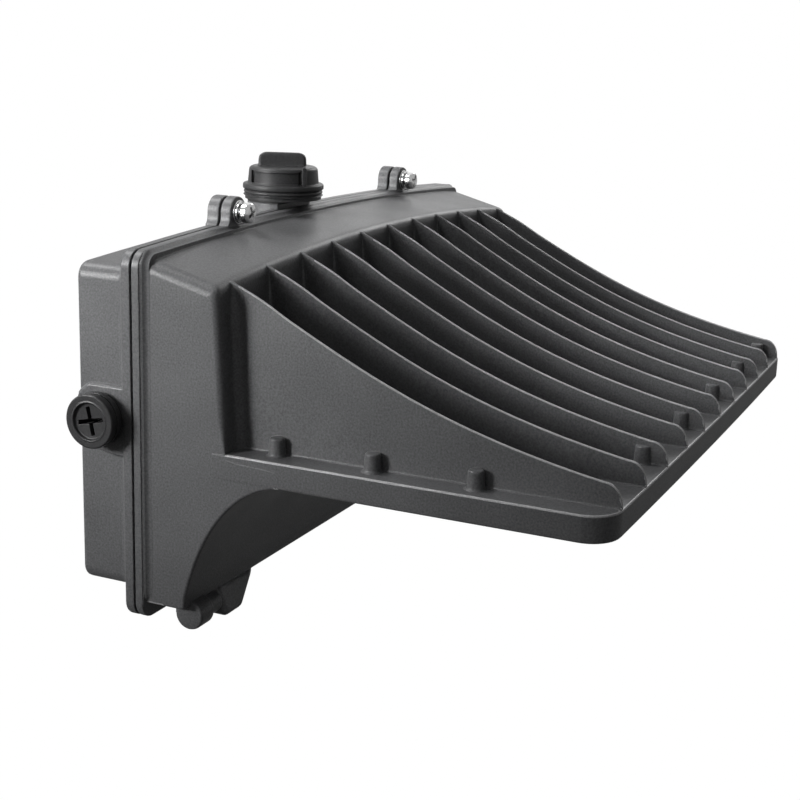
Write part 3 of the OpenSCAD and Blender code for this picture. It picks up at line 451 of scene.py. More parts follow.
def lead_material(name, tones, axis, ends):
    """Neighbouring sleeves in different colours, parted along one axis between two places in m."""
    m, nt, b = material(name)
    co = add(nt, "ShaderNodeTexCoord")
    parts = add(nt, "ShaderNodeSeparateXYZ")
    nt.links.new(co.outputs["Object"], parts.inputs[0])
    place = add(nt, "ShaderNodeMapRange", {"From Min": ends[0], "From Max": ends[1]})
    nt.links.new(parts.outputs[axis], place.inputs[0])
    stops = [(k / len(tones), tone) for k, tone in enumerate(tones)]
    colour = ramp(nt, place.outputs[0], stops, interpolation="CONSTANT")
    mix = add(nt, "ShaderNodeMix", {0: 0.25}, data_type="RGBA", blend_type="MULTIPLY")
    nt.links.new(colour.outputs[0], mix.inputs[6])
    nt.links.new(noise_at(nt, 300.0).outputs["Color"], mix.inputs[7])
    nt.links.new(mix.outputs[2], b.inputs["Base Color"])
    b.inputs["Roughness"].default_value = 0.32
    return m


def clear_lens():
    m, nt, b = material("clear_lens")
    n = noise_at(nt, 45.0)
    gloss = ramp(nt, n.outputs["Fac"], [(0.3, 0.05), (0.7, 0.09)])
    nt.links.new(gloss.outputs[0], b.inputs["Roughness"])
    b.inputs["Base Color"].default_value = (0.95, 0.96, 0.97, 1)
    b.inputs["Transmission Weight"].default_value = 1.0
    b.inputs["IOR"].default_value = 1.49
    waves = add(nt, "ShaderNodeBump", {"Strength": 0.03, "Distance": 0.0002})
    nt.links.new(n.outputs["Fac"], waves.inputs["Height"])
    nt.links.new(waves.outputs[0], b.inputs["Normal"])
    return m


# Materials: darker and lighter tone, roughness from and to, grain and how strongly it stands out
COAT = coated("powder_coat", (0.078, 0.079, 0.081), (0.142, 0.143, 0.147), (0.34, 0.44),
              1100.0, 0.5, 0.00016, fillet=0.0005, spec=0.3)
# Painted highlight: a coat about three times lighter than the powder coat, for the narrow convex edge
# strips, standing in for light caught by the rounded edges
EDGE_HIGHLIGHT = coated("painted_edge_highlight", (0.28, 0.28, 0.285), (0.42, 0.42, 0.425), (0.34, 0.42),
              1100.0, 0.3, 0.0001, spec=0.4)
PLASTIC = coated("black_plastic", (0.022, 0.022, 0.023), (0.040, 0.040, 0.041), (0.36, 0.46),
                 1100.0, 0.16, 0.00006, fillet=0.0003, spec=0.3)
RUBBER = coated("black_rubber", (0.012, 0.012, 0.012), (0.020, 0.020, 0.020), (0.6, 0.75),
                900.0, 0.2, 0.00006)
SILICONE = coated("pale_silicone", (0.62, 0.62, 0.60), (0.72, 0.72, 0.70), (0.5, 0.6), 700.0, 0.12)
STEEL = steel("bright_steel", (0.80, 0.80, 0.80), 0.16)
PIN = steel("pin_steel", (0.55, 0.55, 0.56), 0.28)
ZINC = steel("zinc_nut", (0.58, 0.60, 0.63), 0.34)
GREEN = coated("green_screw", (0.02, 0.20, 0.06), (0.03, 0.32, 0.10), (0.25, 0.35), 600.0, 0.1,
               metal=0.6)
IVORY = coated("ivory_plastic", (0.72, 0.69, 0.58), (0.80, 0.77, 0.66), (0.4, 0.5), 500.0, 0.1)
CASE = coated("driver_case", (0.58, 0.59, 0.60), (0.72, 0.73, 0.74), (0.3, 0.42), 800.0, 0.12,
              metal=0.85)
BOARD = coated("white_board", (0.78, 0.78, 0.77), (0.86, 0.86, 0.85), (0.35, 0.45), 600.0, 0.08)
CHIP = coated("chip_phosphor", (0.80, 0.62, 0.12), (0.88, 0.74, 0.22), (0.3, 0.4), 900.0, 0.15)
LENS = clear_lens()

BLACK_SLEEVE = (0.02, 0.02, 0.02)
WHITE_SLEEVE = (0.75, 0.75, 0.73)
GREEN_SLEEVE = (0.02, 0.26, 0.07)
RED_SLEEVE = (0.5, 0.02, 0.02)
ORANGE_CAP = (0.85, 0.27, 0.03)
YELLOW_CAP = (0.85, 0.60, 0.04)
MAINS_LEADS = lead_material("lead_cover", [BLACK_SLEEVE, WHITE_SLEEVE, GREEN_SLEEVE], "Z",
                            (-0.040, -0.026))
CELL_LEADS = lead_material("cell_leads", [BLACK_SLEEVE, WHITE_SLEEVE, RED_SLEEVE], "X",
                           (-0.050, -0.008))
BOARD_LEADS = lead_material("low_lead", [BLACK_SLEEVE, RED_SLEEVE], "X", (0.0582, 0.0618))
WIRE_CAPS = lead_material("connector_plastic", [ORANGE_CAP, ORANGE_CAP, YELLOW_CAP], "X",
                          (-0.0465, -0.0075))
GROUND_LEAD = coated("green_lead", (0.02, 0.22, 0.06), (0.03, 0.30, 0.09), (0.3, 0.4), 500.0, 0.06)

CARRIED = {
    "rear_housing": COAT, "housing_gasket": RUBBER, "plug_seals": RUBBER,
    "conduit_plug_left": PLASTIC, "conduit_plug_right": PLASTIC, "receptacle_gasket": RUBBER,
    "photocell_receptacle": PLASTIC, "receptacle_nut": ZINC, "photocell_cap": PLASTIC,
    "photocell_leads": CELL_LEADS, "wire_connectors": WIRE_CAPS, "supply_leads": MAINS_LEADS,
    "supply_socket": IVORY, "ground_screw": GREEN, "ground_lead": GROUND_LEAD,
    "front_cover": COAT, "hinge_pins": PIN, "led_driver": CASE, "driver_screws": STEEL,
    "driver_leads": MAINS_LEADS, "driver_plug": IVORY, "led_leads": BOARD_LEADS,
    "lead_grommet": RUBBER, "led_board": BOARD, "led_chips": CHIP, "board_screws": STEEL,
    "lens_gasket": SILICONE, "lens_panel": LENS, "lens_frame": COAT, "lens_screws": STEEL,
    "flat_washers": STEEL, "spring_washers": STEEL, "cover_screw_left": STEEL,
    "cover_screw_right": STEEL}


def dress_carried():
    """Give every CAD node its material."""
    for name, mat in CARRIED.items():
        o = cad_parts[name]
        o.data.materials.clear()
        o.data.materials.append(mat)
        for p in o.data.polygons:
            p.material_index = 0


# Front cover: the block's shell
EDGE_R = 6.0  # round at the sides of the block's top
FACE_EDGE_R = 3.4
COVE_EDGE_R = 1.4
FOOT_EDGE_R = 1.2
HIDDEN_EDGE_R = 0.05
HOLLOW_EDGE_R = 2.0
SHOULDER_R = 4.2
TOP_STATIONS = (40, 48, 56, 62)
BODY_BACK_D = 33.2
HOLLOW_BACK_D = 26.0
HOLLOW_FOOT_D = 50.5
FOOT_BACK_D = 44.0
COVE_BEND = [(0.4, 0.03), (0.81, 0.33)]
COVE_STEPS = 24
UNDER_TRAY = [(FACE_D, -11.0), (82.0, -12.0), (92.0, -12.4), (101.0, -13.0), (102.8, -16.0)]
FOOT_ROUND = [(1.1, 1.4), (0.5, 0.4), (-0.7, 0.0)]  # out from FOOT_D, up from the foot
PASSAGE_R = 2.5
PASSAGE_D = (60, 95)
PASSAGE_AT = (60.0, 0, -POCKET_TOP - 0.8)


def side_profile(x, inset=0.0, rounds=4, steps=5):
    """Outline of the cover's top and front wall at x: (depth, height, radius of the side's edge)."""
    r_top = EDGE_R - inset
    back = HOLLOW_BACK_D if inset else BODY_BACK_D
    out = [(d, top_at(x, d, inset), r_top) for d in (back,) + TOP_STATIONS]
    # Where the top and the front wall meet, found in a few rounds
    z = top_at(x, BLOCK_D, inset)
    for _ in range(rounds):
        z = top_at(x, face_at(z) - inset, inset)
    corner = (face_at(z) - inset, z)
    a = (corner[0] - SHOULDER_R, top_at(x, corner[0] - SHOULDER_R, inset))
    b = (face_at(z - SHOULDER_R) - inset, z - SHOULDER_R)
    for k in range(steps + 1):
        t = k / steps
        d, z = ((1 - t) ** 2 * a[i] + 2 * t * (1 - t) * corner[i] + t * t * b[i] for i in (0, 1))
        out.append((d, z, r_top + (FACE_EDGE_R - r_top) * t))
    for share in (0.25, 0.5, 0.75):
        z = b[1] + (-TRAY_DROP - b[1]) * share
        out.append((face_at(z) - inset, z, FACE_EDGE_R))
    return out


def cove_points(inset):
    """The cove from under the tray back to the foot, moved in by inset: (depth, height)."""
    start, end = (-COVE_D, -TRAY_FOOT), (-FOOT_D, -FOOT)
    near = 0.01
    out = []
    for k in range(COVE_STEPS + 1):
        t = k / COVE_STEPS
        y, z = curve_at(start, end, COVE_BEND, t)
        if inset:
            a = curve_at(start, end, COVE_BEND, t - near)
            b = curve_at(start, end, COVE_BEND, t + near)
            run = math.hypot(b[0] - a[0], b[1] - a[1])
            y, z = y - inset * (b[1] - a[1]) / run, z + inset * (b[0] - a[0]) / run
        out.append((-y, z))
    return out


def outer_profile(x):
    prof = side_profile(x)
    prof += [(d, z, HIDDEN_EDGE_R) for d, z in UNDER_TRAY]
    prof += [(d, z, COVE_EDGE_R) for d, z in cove_points(0)[:-1]]
    prof += [(FOOT_D + out, -FOOT + up, COVE_EDGE_R) for out, up in FOOT_ROUND]
    prof += [(d, -FOOT, FOOT_EDGE_R) for d in (FOOT_BACK_D, BODY_BACK_D)]
    return prof


def inner_profile(x):
    prof = side_profile(x, WALL)
    rest = [(FACE_D - WALL, -TRAY_DROP)] + cove_points(WALL)[COVE_STEPS // 2:-1]
    rest += [(HOLLOW_FOOT_D, -FOOT + WALL), (HOLLOW_BACK_D, -FOOT + WALL)]
    return prof + [(d, z, HOLLOW_EDGE_R) for d, z in rest]


def turned_row(prof, x, half, turn):
    """One step of the round at a side: each point moves in by its radius as the round turns."""
    out = []
    for i, (d, z, r) in enumerate(prof):
        before, after = prof[max(i - 1, 0)], prof[min(i + 1, len(prof) - 1)]
        along, up = after[0] - before[0], after[1] - before[1]
        run = math.hypot(along, up) or 1.0
        s = r * (1 - math.cos(turn))
        px = math.copysign(half - r * (1 - math.sin(turn)), x)
        out.append((px, -(d + s * (up / run)), z + s * (-along / run)))
    return out


def x_loft(profile_at, half, steps=24, turns=7):
    """Loft a side profile along X, and round its edges at both ends by each point's radius."""
    inner = half - EDGE_R
    ends = [math.radians(90 * k / turns) for k in range(turns + 1)]
    rows = [turned_row(profile_at(half), -half, half, turn) for turn in reversed(ends)]
    for k in range(1, steps):
        x = inner * (2 * k / steps - 1)
        rows.append([(x, -d, z) for d, z, _ in profile_at(abs(x))])
    rows += [turned_row(profile_at(half), half, half, turn) for turn in ends]
    return loft(rows, "filled")


def hollow():
    return solid("hollow", x_loft(inner_profile, HALF - WALL))


def body_shell():
    body = solid("body", x_loft(outer_profile, HALF))
    passage = solid("passage", rod(PASSAGE_R, *PASSAGE_D, 24, "y", PASSAGE_AT, -1))
    return cut(body, hollow(), pocket(), passage)


# Front cover: the rim plate and its coved foot on the block
RIM_ROUND = [(0.5, 0.0), (0.15, 0.15), (0.0, 0.5)]  # inset, and distance from the plate's face
RIM_COVE_R = 4
RIM_COVE_GAP = 0.2
RIM_COVE_OUT = 1.72
RIM_COVE_SINK = 1.2
RIM_COVE_END = 4.4
NOTCH_GAP = 0.5
NOTCH_D = (-36.5, -29)
NOTCH_Z = (-99, -86.3)


def rim_plate():
    rings = [at_d(rim(inset), SEAM_D + step) for inset, step in RIM_ROUND]
    rings += [at_d(rim(inset), COVER_RIM_D - step) for inset, step in reversed(RIM_ROUND)]
    rings.append(at_d(around(RIM_COVE_OUT), COVER_RIM_D + RIM_COVE_GAP))
    for degrees in range(52, 0, -8):
        a = math.radians(degrees)
        rings.append(at_d(around(RIM_COVE_R * (1 - math.cos(a))),
                          COVER_RIM_D + RIM_COVE_GAP + RIM_COVE_R * (1 - math.sin(a))))
    rings.append(at_d(around(-RIM_COVE_SINK, RIM_COVE_SINK), COVER_RIM_D + RIM_COVE_END))
    notch = rounded_box(ARM_X[0] - NOTCH_GAP, ARM_X[1] + NOTCH_GAP, *NOTCH_D, *NOTCH_Z, 0)
    notches = [solid("notch", p) for p in both(notch)]
    return cut(solid("plate", loft(rings)), hollow(), *notches)


# Front cover: the tray
TRAY_FOOT_EDGE = [(1.2, 0.0), (0.55, 0.18), (0.15, 0.6), (0.0, 1.2)]  # inset, up from the foot
TRAY_TOP_EDGE = [(0.0, 0.8), (0.05, 0.55), (0.17, 0.32), (0.36, 0.14), (0.6, 0.03),
                 (0.85, 0.0)]  # inset, down from the top


def plan(inset, z, back, crowned=True, steps=30, turns=10):
    """The tray seen from above, moved in by inset, as a ring at height z."""
    c = HALF + TRAY_PROUD - PLAN_R
    r = PLAN_R - inset
    ends = [math.radians(90 * k / turns) for k in range(turns + 1)]
    corner = [(-c - r * math.cos(a), front_at(c) - PLAN_R + r * math.sin(a)) for a in ends]
    middle = [c * (2 * k / steps - 1) for k in range(1, steps)]
    front = corner + [(x, front_at(x) - inset) for x in middle] + [(-x, d) for x, d in reversed(corner)]
    ring = front + [(x, back) for x, _ in reversed(front)]
    return [(x, -d, z + (crown_at(x) if crowned else 0)) for x, d in ring]


def stack(rings):
    """A closed stack of plan rings whose front and back halves run in step."""
    n = len(rings[0])
    verts, faces = loft(rings, "open")
    for base, flip in ((0, False), ((len(rings) - 1) * n, True)):
        for i in range(n // 2 - 1):
            q = (base + i, base + i + 1, base + n - 2 - i, base + n - 1 - i)
            faces.append(q if flip else tuple(reversed(q)))
    return verts, faces


def pocket():
    return solid("pocket", stack([plan(SKIRT, -z, POCKET_D, False) for z in (POCKET_FOOT, POCKET_TOP)]))


def tray_plate():
    edge = [(inset, up - TRAY_FOOT) for inset, up in TRAY_FOOT_EDGE]
    edge += [(inset, -TRAY_DROP - down) for inset, down in TRAY_TOP_EDGE]
    tray = solid("tray", stack([plan(inset, z, TRAY_BACK_D) for inset, z in edge]))
    return cut(tray, pocket(), hollow())


# Front cover: the fins
FIN_BEND = [(0.3, 0.39), (0.51, 0.78)]
FIN_STEPS = 48
FIN_TOP_DROP = 0.5
FIN_LAP = 1.5  # how far a fin reaches into the front wall
FIN_LEAST_H = 0.05
FIN_SWELL = 0.6  # lift of the crest over its first stretch
SWELL_L = 30
NOSE_L = 8.4
NOSE_H = 10.6
NOSE_STEPS = 14
NOSE_INSET = 0.45
NOSE_POWER = 0.9
CREST_R = 0.6
CREST_SHARE = 0.4  # most of a low fin's height that its crest may take
TIP_HALF_T = 0.68
DRAFT = 0.013
FIN_STATIONS = (0.35, 0.7, 1)
FIN_COVE = [(1.2, -0.3), (0.62, 0.1), (0.26, 0.4), (0.06, 1.0)]  # out from the side, up
FIN_COVE_TOP = 1.0
FIN_COVE_H = 6  # from this height on the cove has its full size
ROOT_R = 2.4
OUTER_ROOT_R = 5.0
ROOT_DROP = 3.2
ROOT_LAP = 0.03


def blade(h, z):
    """Half the thickness at height z of a fin of height h."""
    return TIP_HALF_T + DRAFT * (h - z)


def fin_line(x, base):
    """The crest of a fin from inside the front wall to the tip of its nose: (y, height)."""
    wall_top = top_at(x, BLOCK_D)
    start = (-face_at(wall_top), wall_top - FIN_TOP_DROP)
    nose = (NOSE_L - (front_at(x) - NOSE_INSET), base + NOSE_H)
    line = [(start[0] + FIN_LAP, start[1])]
    for k in range(FIN_STEPS + 1):
        y, z = curve_at(start, nose, FIN_BEND, k / FIN_STEPS)
        swell = FIN_SWELL * math.sin(math.pi * min((start[0] - y) / SWELL_L, 1)) ** 2
        line.append((y, z + swell))
    for k in range(1, NOSE_STEPS + 1):
        a = math.radians(90 * k / NOSE_STEPS)
        line.append((nose[0] - NOSE_L * math.sin(a) ** NOSE_POWER,
                     nose[1] - NOSE_H * (1 - math.cos(a) ** NOSE_POWER)))
    return line


def fin_ring(x, y, base, h):
    """A ring round a fin of height h: coved foot, thinning sides and full round crest."""
    edge = min(CREST_R, h * CREST_SHARE)
    side_h = h - edge
    full = min(1, h / FIN_COVE_H)
    left = [(blade(h, 0) + w * full, min(z, side_h)) for w, z in FIN_COVE]
    for z in (share * side_h for share in FIN_STATIONS):
        left.append((blade(h, z), max(z, min(FIN_COVE_TOP, side_h))))
    for a in (math.radians(degrees) for degrees in (22, 45, 67, 90)):
        left.append((blade(h, h) - edge * (1 - math.cos(a)), h - edge * (1 - math.sin(a))))
    ring = [(x - w, y, base + z) for w, z in left] + [(x, y, base + h)]
    return ring + [(x + w, y, base + z) for w, z in reversed(left)]


def fin(x):
    base = tray_top(x)
    return loft([fin_ring(x, y, base, max(z - base, FIN_LEAST_H)) for y, z in fin_line(x, base)])


def root_fillet(x, side, r):
    """The concave fillet between the front wall and one side of a fin."""
    base = tray_top(x)
    top = top_at(x, BLOCK_D) - ROOT_DROP
    steps, turns = 12, 8
    fade = {steps - 1: 0.75, steps: 0.3}
    behind, inside, below = 0.6, 0.4, 0.5
    rows = []
    for k in range(steps + 1):
        z = base - below + (top - base + below) * k / steps
        rr = r * fade.get(k, 1)
        x0 = x + side * (blade(top - base, z - base) - ROOT_LAP)
        d0 = face_at(z) - ROOT_LAP
        ring = [(x0 - side * inside, -(d0 - behind), z), (x0 + side * rr, -(d0 - behind), z)]
        for j in range(turns + 1):
            a = math.radians(90 * j / turns)
            ring.append((x0 + side * rr * (1 - math.sin(a)), -(d0 + rr * (1 - math.cos(a))), z))
        ring.append((x0 - side * inside, -(d0 + rr), z))
        rows.append(ring)
    return loft(rows)


def fins():
    pieces = []
    for i in range(FINS):
        x = (i - (FINS - 1) / 2) * PITCH
        pieces.append(solid("fin", fin(x)))
        for side, outermost in ((-1, 0), (1, FINS - 1)):
            r = OUTER_ROOT_R if i == outermost else ROOT_R
            pieces.append(solid("root", root_fillet(x, side, r)))
    return pieces


# Front cover: the bosses of the lens frame's screws
BOSS_OUTLINE = [(0, -1.5), (5.0, -1.5), (4.8, 0.05), (4.3, 0.2), (3.95, 0.55), (3.75, 1.2), (3.45, 7.2),
                (3.35, 7.65), (3.05, 8.0), (2.6, 8.15), (0, 8.15)]
SIDE_SHARES = (0.045, 0.325, 0.61)  # along the pocket
BOSS_X = FIN_HALF + 3.6
NOSE_BOSS_X = FIN_HALF - 4.4
BOSS_FROM_FRONT = 12
POST_R = 5.2
POST_Z = (-16.08, -11.0)


def boss_places():
    fronts = [NOSE_BOSS_X, PITCH, 3 * PITCH]
    places = []
    for side in (-1, 1):
        places += [(side * BOSS_X, -(POCKET_D + s * (TRAY_D - POCKET_D))) for s in SIDE_SHARES]
        places += [(side * x, BOSS_FROM_FRONT - front_at(x)) for x in fronts]
    return places


def bosses():
    pieces = []
    for x, y in boss_places():
        pieces.append(solid("boss", lathe(BOSS_OUTLINE, 24, "z", (x, y, tray_top(x)))))
        pieces.append(solid("post", rod(POST_R, *POST_Z, 28, "z", (x, y, 0))))
    return pieces


# Screw ears, on both castings
COVER_EAR_D = 36.1
HOUSING_EAR_D = 23.1
EAR_R = 7.5
EAR_FOOT = 78.0
EAR_SINK = 0.2
EAR_FLARE = [(0.05, 0.3), (0.25, 0.55), (0.8, 0.8), (1.8, 1.0)]  # wider, share of the way down
EAR_BACK = [(0.8, 0.0), (0.2, 0.2), (0.0, 0.8)]  # inset, and distance from the ear's back
EAR_FRONT = [(0.0, 0.9), (0.25, 0.25), (0.9, 0.0)]


def ear_outline(inset):
    r = EAR_R - inset
    h = SCREW_Z - (RIM_AT_SCREW - EAR_SINK)
    flare = [(r + w, SCREW_Z - h * t) for w, t in EAR_FLARE]
    flare.append((r + EAR_FLARE[-1][0], EAR_FOOT))
    pts = arc(SCREW_X, SCREW_Z, r, 0, 180, 20)
    pts += [(SCREW_X - w, z) for w, z in flare]
    pts += [(SCREW_X + w, z) for w, z in reversed(flare)]
    return pts


def screw_ears(d0, d1):
    rings = [at_d(ear_outline(inset), d0 + step) for inset, step in EAR_BACK]
    rings += [at_d(ear_outline(inset), d1 - step) for inset, step in EAR_FRONT]
    return [solid("ear", part) for part in both(loft(rings))]


# Front cover: its half of the hinge, and the seat of the driver
BARREL_OUTLINE = [(0, 157), (6.2, 157), (6.9, 157.3), (7.2, 158), (7.2, 166.6), (6.9, 167.5), (6.2, 168),
                  (0, 168)]
NECK_X = (157.3, 167.5)
NECK_BACK_D = 46.9
NECK_TOP = 84.5
LUG_R = 3.2
LUG_CORNERS = [(109.1, -45.6, -84.5), (146.1, -45.6, -83), (109.1, -55.6, -84.5),
               (146.1, -55.6, -83), (130.1, -45.6, -98.4), (146.1, -45.6, -98.4),
               (130.1, -61.1, -98.4), (146.1, -61.1, -98.4)]
SEAT_HALF = 87
SEAT_OUTLINE = [(65.6, -1), (65.6, 55), (74.5, 55), (75.5, -1)]


def cover_hinge():
    barrel = lathe(BARREL_OUTLINE, 48, "x", (0, -HINGE_D, -HINGE_Z))
    neck = rounded_box(*NECK_X, -FOOT_D, -NECK_BACK_D, -HINGE_Z, -NECK_TOP, 0)
    lug = hull(LUG_CORNERS, LUG_R, 5)
    pieces = []
    for name, part in (("barrel", barrel), ("neck", neck), ("lug", lug)):
        pieces += [solid(name, p) for p in both(part)]
    return pieces


def driver_seat():
    corners = [(side * SEAT_HALF, -d, z) for side in (-1, 1) for d, z in SEAT_OUTLINE]
    return solid("seat", hull(corners, 0))


def cover_casting():
    pieces = [body_shell(), rim_plate(), tray_plate()] + fins() + bosses()
    pieces += screw_ears(SEAM_D, COVER_EAR_D) + cover_hinge() + [driver_seat()]
    return join("cover_casting", pieces)


# Front cover: painted highlights, a much lighter coat on the narrow strips of its convex edges
HIGHLIGHT_WIDTH = 0.27
HIGHLIGHT_LENGTH = 0.5
HIGHLIGHT_TURN = math.radians(7)
BLOCK_SPAN = (40, FACE_D)
TRAY_SIDE_X = HALF - 0.3
TRAY_SIDE_Z = (-16.5, -10.5)
TRAY_SIDE_D = 103


def hidden_edge(spot):
    """Whether a place in mm lies on the block, or on the body's side behind the tray's edge."""
    x, d, z = abs(spot.x), -spot.y, spot.z
    on_block = BLOCK_SPAN[0] < d < BLOCK_SPAN[1]
    behind_tray = x > TRAY_SIDE_X and TRAY_SIDE_Z[0] < z < TRAY_SIDE_Z[1] and d < TRAY_SIDE_D
    return on_block or behind_tray


def paint_edge_highlights(o):
    """Paint highlights on the narrow strips that round the convex edges, with the much lighter edge coat."""
    o.data.materials.append(EDGE_HIGHLIGHT)
    bm = bmesh.new()
    bm.from_mesh(o.data)
    bm.normal_update()
    for f in bm.faces:
        if hidden_edge(f.calc_center_median() / MM):
            continue
        width = 2 * f.calc_area() / sum(e.calc_length() for e in f.edges)
        if width > HIGHLIGHT_WIDTH * MM:
            continue
        if any(len(e.link_faces) == 2 and e.calc_length() > HIGHLIGHT_LENGTH * MM and e.is_convex
               and e.calc_face_angle(0.0) > HIGHLIGHT_TURN for e in f.edges):
            f.material_index = 1
    bm.to_mesh(o.data)
    bm.free()


# Rear housing
BOX_OUTER = [(-1.6, 0), (-0.6, 0.3), (-0.15, 1.0), (0, 2.2), (0, 21.4), (0.25, 23.0), (0.8, 24.1),
             (1.6, 24.7)]  # growth of the box's outline, and depth
RIM_OUTER = [(0.9, 24.8), (0.25, 25.05), (0, 25.7), (0, 29.1), (0.15, 29.45), (0.5, HOUSING_D)]
SEAL_GROOVE = [(1.8, HOUSING_D), (1.8, 27.6), (3.8, 27.6), (3.8, HOUSING_D)]
BOX_INNER = [(0.3, HOUSING_D), (0, 29.2), (0, 4.4), (-0.4, 3.4), (-1.4, 3.0)]
BACK_CUT = (-1, 5)  # depths between which the back's holes are cut
WALL_HOLE_R = 3.25
WALL_HOLE_X = 140
WALL_HOLE_Z = 50
BOX_HOLE_R = 2.6
BOX_HOLE_X = 44.45
ENTRY_R = 11.15
ENTRY_Z = 20
STEM_R = 7.1
STEM_D = 15.6
STEM_Z = (66, 90)
BOX_BORE = (168, 178)  # between which places along X the plugs' bores are cut
PAD_BORE = (160, 180)
ARM_D = (-HINGE_D, -28.6)
ARM_Z = (-94.0, -86.6)
KNUCKLE_OUTLINE = [(0, 146.6), (4.6, 146.6), (5.3, 147.2), (5.3, 155.9), (4.6, 156.5), (0, 156.5)]
GROUND_OUTLINE = [(0, 2.5), (5.6, 2.5), (5.1, 3.4), (5.0, 6.6), (4.6, 7.0), (0, 7.0)]
GROUND_AT = (92, 0, -40)


def box_inside(grow):
    return box_ring(grow - WALL)


def housing_shell():
    rings = [at_d(box_ring(grow), d) for grow, d in BOX_OUTER]
    rings += [at_d(rim(inset), d) for inset, d in RIM_OUTER]
    rings += [at_d(seal(inset), d) for inset, d in SEAL_GROOVE]
    rings += [at_d(box_inside(grow), d) for grow, d in BOX_INNER]
    return solid("shell", loft(rings))


def back_holes():
    holes = []
    for side in (-1, 1):
        for up in (-1, 1):
            holes.append(rod(WALL_HOLE_R, *BACK_CUT, 32, "y", (side * WALL_HOLE_X, 0, up * WALL_HOLE_Z), -1))
        holes.append(rod(BOX_HOLE_R, *BACK_CUT, 32, "y", (side * BOX_HOLE_X, 0, ENTRY_Z), -1))
    holes.append(rod(ENTRY_R, *BACK_CUT, 56, "y", (0, 0, ENTRY_Z), -1))
    return solid("holes", *holes)


def plug_bores(start, end):
    return solid("bores", *both(rod(PLUG_BORE_R, start, end, 56, "x", (0, -PLUG_D, 0))))


def stem_bore():
    return solid("stem", rod(STEM_R, *STEM_Z, 40, "z", (-CELL_X, -STEM_D, 0)))


# Rear housing: the pads round the conduit plugs
PAD_UP = 15.4
PAD_LOW = 17.6
PAD_R = 16.7
PAD_FRONT_D = 28.0
PAD_TOP_D = PLUG_D + 4
PAD_BACK_D = 0.7
PAD_FOOT = [(PLUG_D + 1, 0.9), (PLUG_D + 6, 0.0), (23.0, 0.0), (26.0, -0.6), (27.2, -2.2),
            (PAD_FRONT_D, -5.0)]  # depth, up from the pad's lower edge
PAD_STEPS = [(171.0, 0.0), (173.6, 0.0), (174.4, 0.15), (175.1, 0.5), (175.5, 1.0), (175.7, 1.7)]


def pad_ring(x, inset, turns=24):
    up, low, r = PAD_UP - inset, PAD_LOW - inset, PAD_R - inset
    first = math.degrees(math.asin(min(1, up / r)))
    pts = [(PAD_FRONT_D, up), (PAD_TOP_D, up)]
    for k in range(turns + 1):
        a = math.radians(first * (1 - 2 * k / turns))
        pts.append((max(PLUG_D - r * math.cos(a), PAD_BACK_D), r * math.sin(a)))
    pts += [(d, step - low) for d, step in PAD_FOOT]
    return [(x, -d, z) for d, z in pts]


def pads():
    part = loft([pad_ring(x, inset) for x, inset in PAD_STEPS])
    return [cut(solid("pad", p), plug_bores(*PAD_BORE)) for p in both(part)]


# Rear housing: the boss under the photocell
CELL_BOSS_R = 18.5
CELL_BOSS_GAP = 0.02
CELL_BOSS = [(20.6, 69.0), (20.4, 73.0), (19.4, 74.0), (18.8, 75.6), (CELL_BOSS_R, 78.0),
             (CELL_BOSS_R, 83.8), (18.2, 84.3), (17.7, 84.5)]


def cell_ring(r, z, steps=72):
    pts = []
    front = HOUSING_D - (CELL_BOSS_R - r) - CELL_BOSS_GAP
    for a in (2 * math.pi * k / steps for k in range(steps)):
        pts.append((-CELL_X + r * math.sin(a), -min(CELL_D - r * math.cos(a), front), z))
    return pts


def cell_boss():
    boss = solid("cell", loft([cell_ring(r, z) for r, z in CELL_BOSS]))
    return cut(boss, stem_bore())


def housing_hinge():
    arm = rounded_box(*ARM_X, *ARM_D, *ARM_Z, 0.6)
    knuckle = lathe(KNUCKLE_OUTLINE, 40, "x", (0, -HINGE_D, -HINGE_Z))
    return [solid("arm", part) for part in both(arm) + both(knuckle)]


def housing_casting():
    shell = cut(housing_shell(), back_holes(), plug_bores(*BOX_BORE), stem_bore())
    ground = solid("ground", lathe(GROUND_OUTLINE, 32, "y", GROUND_AT, -1))
    pieces = [shell, cell_boss()] + pads() + screw_ears(HOUSING_EAR_D, HOUSING_D) + housing_hinge()
    return join("housing_casting", pieces + [ground])


# Photocell cap, drawn round its own axis with its foot at zero
CAP_Z = 87.25
CAP_TURN = math.radians(-66)
DRUM_OUTLINE = [
    (0, 0), (20.0, 0), (20.5, 0.12), (20.7, 0.35), (20.5, 0.6), (19.8, 0.8), (19.7, 1.1),
    (20.2, 1.35), (20.45, 1.8), (20.4, 2.4), (20.1, 2.8), (19.8, 2.95), (19.85, 3.15), (20.6, 3.35),
    (20.95, 3.7), (21.0, 4.2), (21.0, 5.2), (20.85, 5.8), (20.4, 6.15), (18.9, 6.3), (18.55, 6.5),
    (18.4, 6.9), (17.85, 12.9), (17.65, 13.8), (17.1, 14.5), (16.2, 14.95), (15.2, 15.0), (0, 15.0)]
PANEL_CORE = [(0, 4), (17.2, 4), (17.2, 5.5), (17.1, 6.0), (16.9, 12.0), (17.1, 12.6), (0, 14)]
ROOM_R = 12.05
ROOM_Z = (-1, 9)
PANEL_BOX = (-14.6, 9.6, -22, -8, 7.0, 12.8)
PANEL_EDGE_R = 0.5
GROOVE_BOXES = [(-15.7, -14.1, -22, -8.0, 6.8, 13.3), (9.0, 10.6, -22, -12.4, 6.8, 13.3)]
GROOVE_EDGE_R = 0.4
GRIP_HALF = 12.4
GRIP_HALF_T = 2.5
GRIP_R = 1.4
GRIP_SHIFT = 0.6
GRIP_STATIONS = (10, 8.5, 0, -8.5, -10)
GRIP_FLAT = 8  # beyond this the grip's top falls away
GRIP_FALL = 0.1
GRIP_TOP_Z = 18
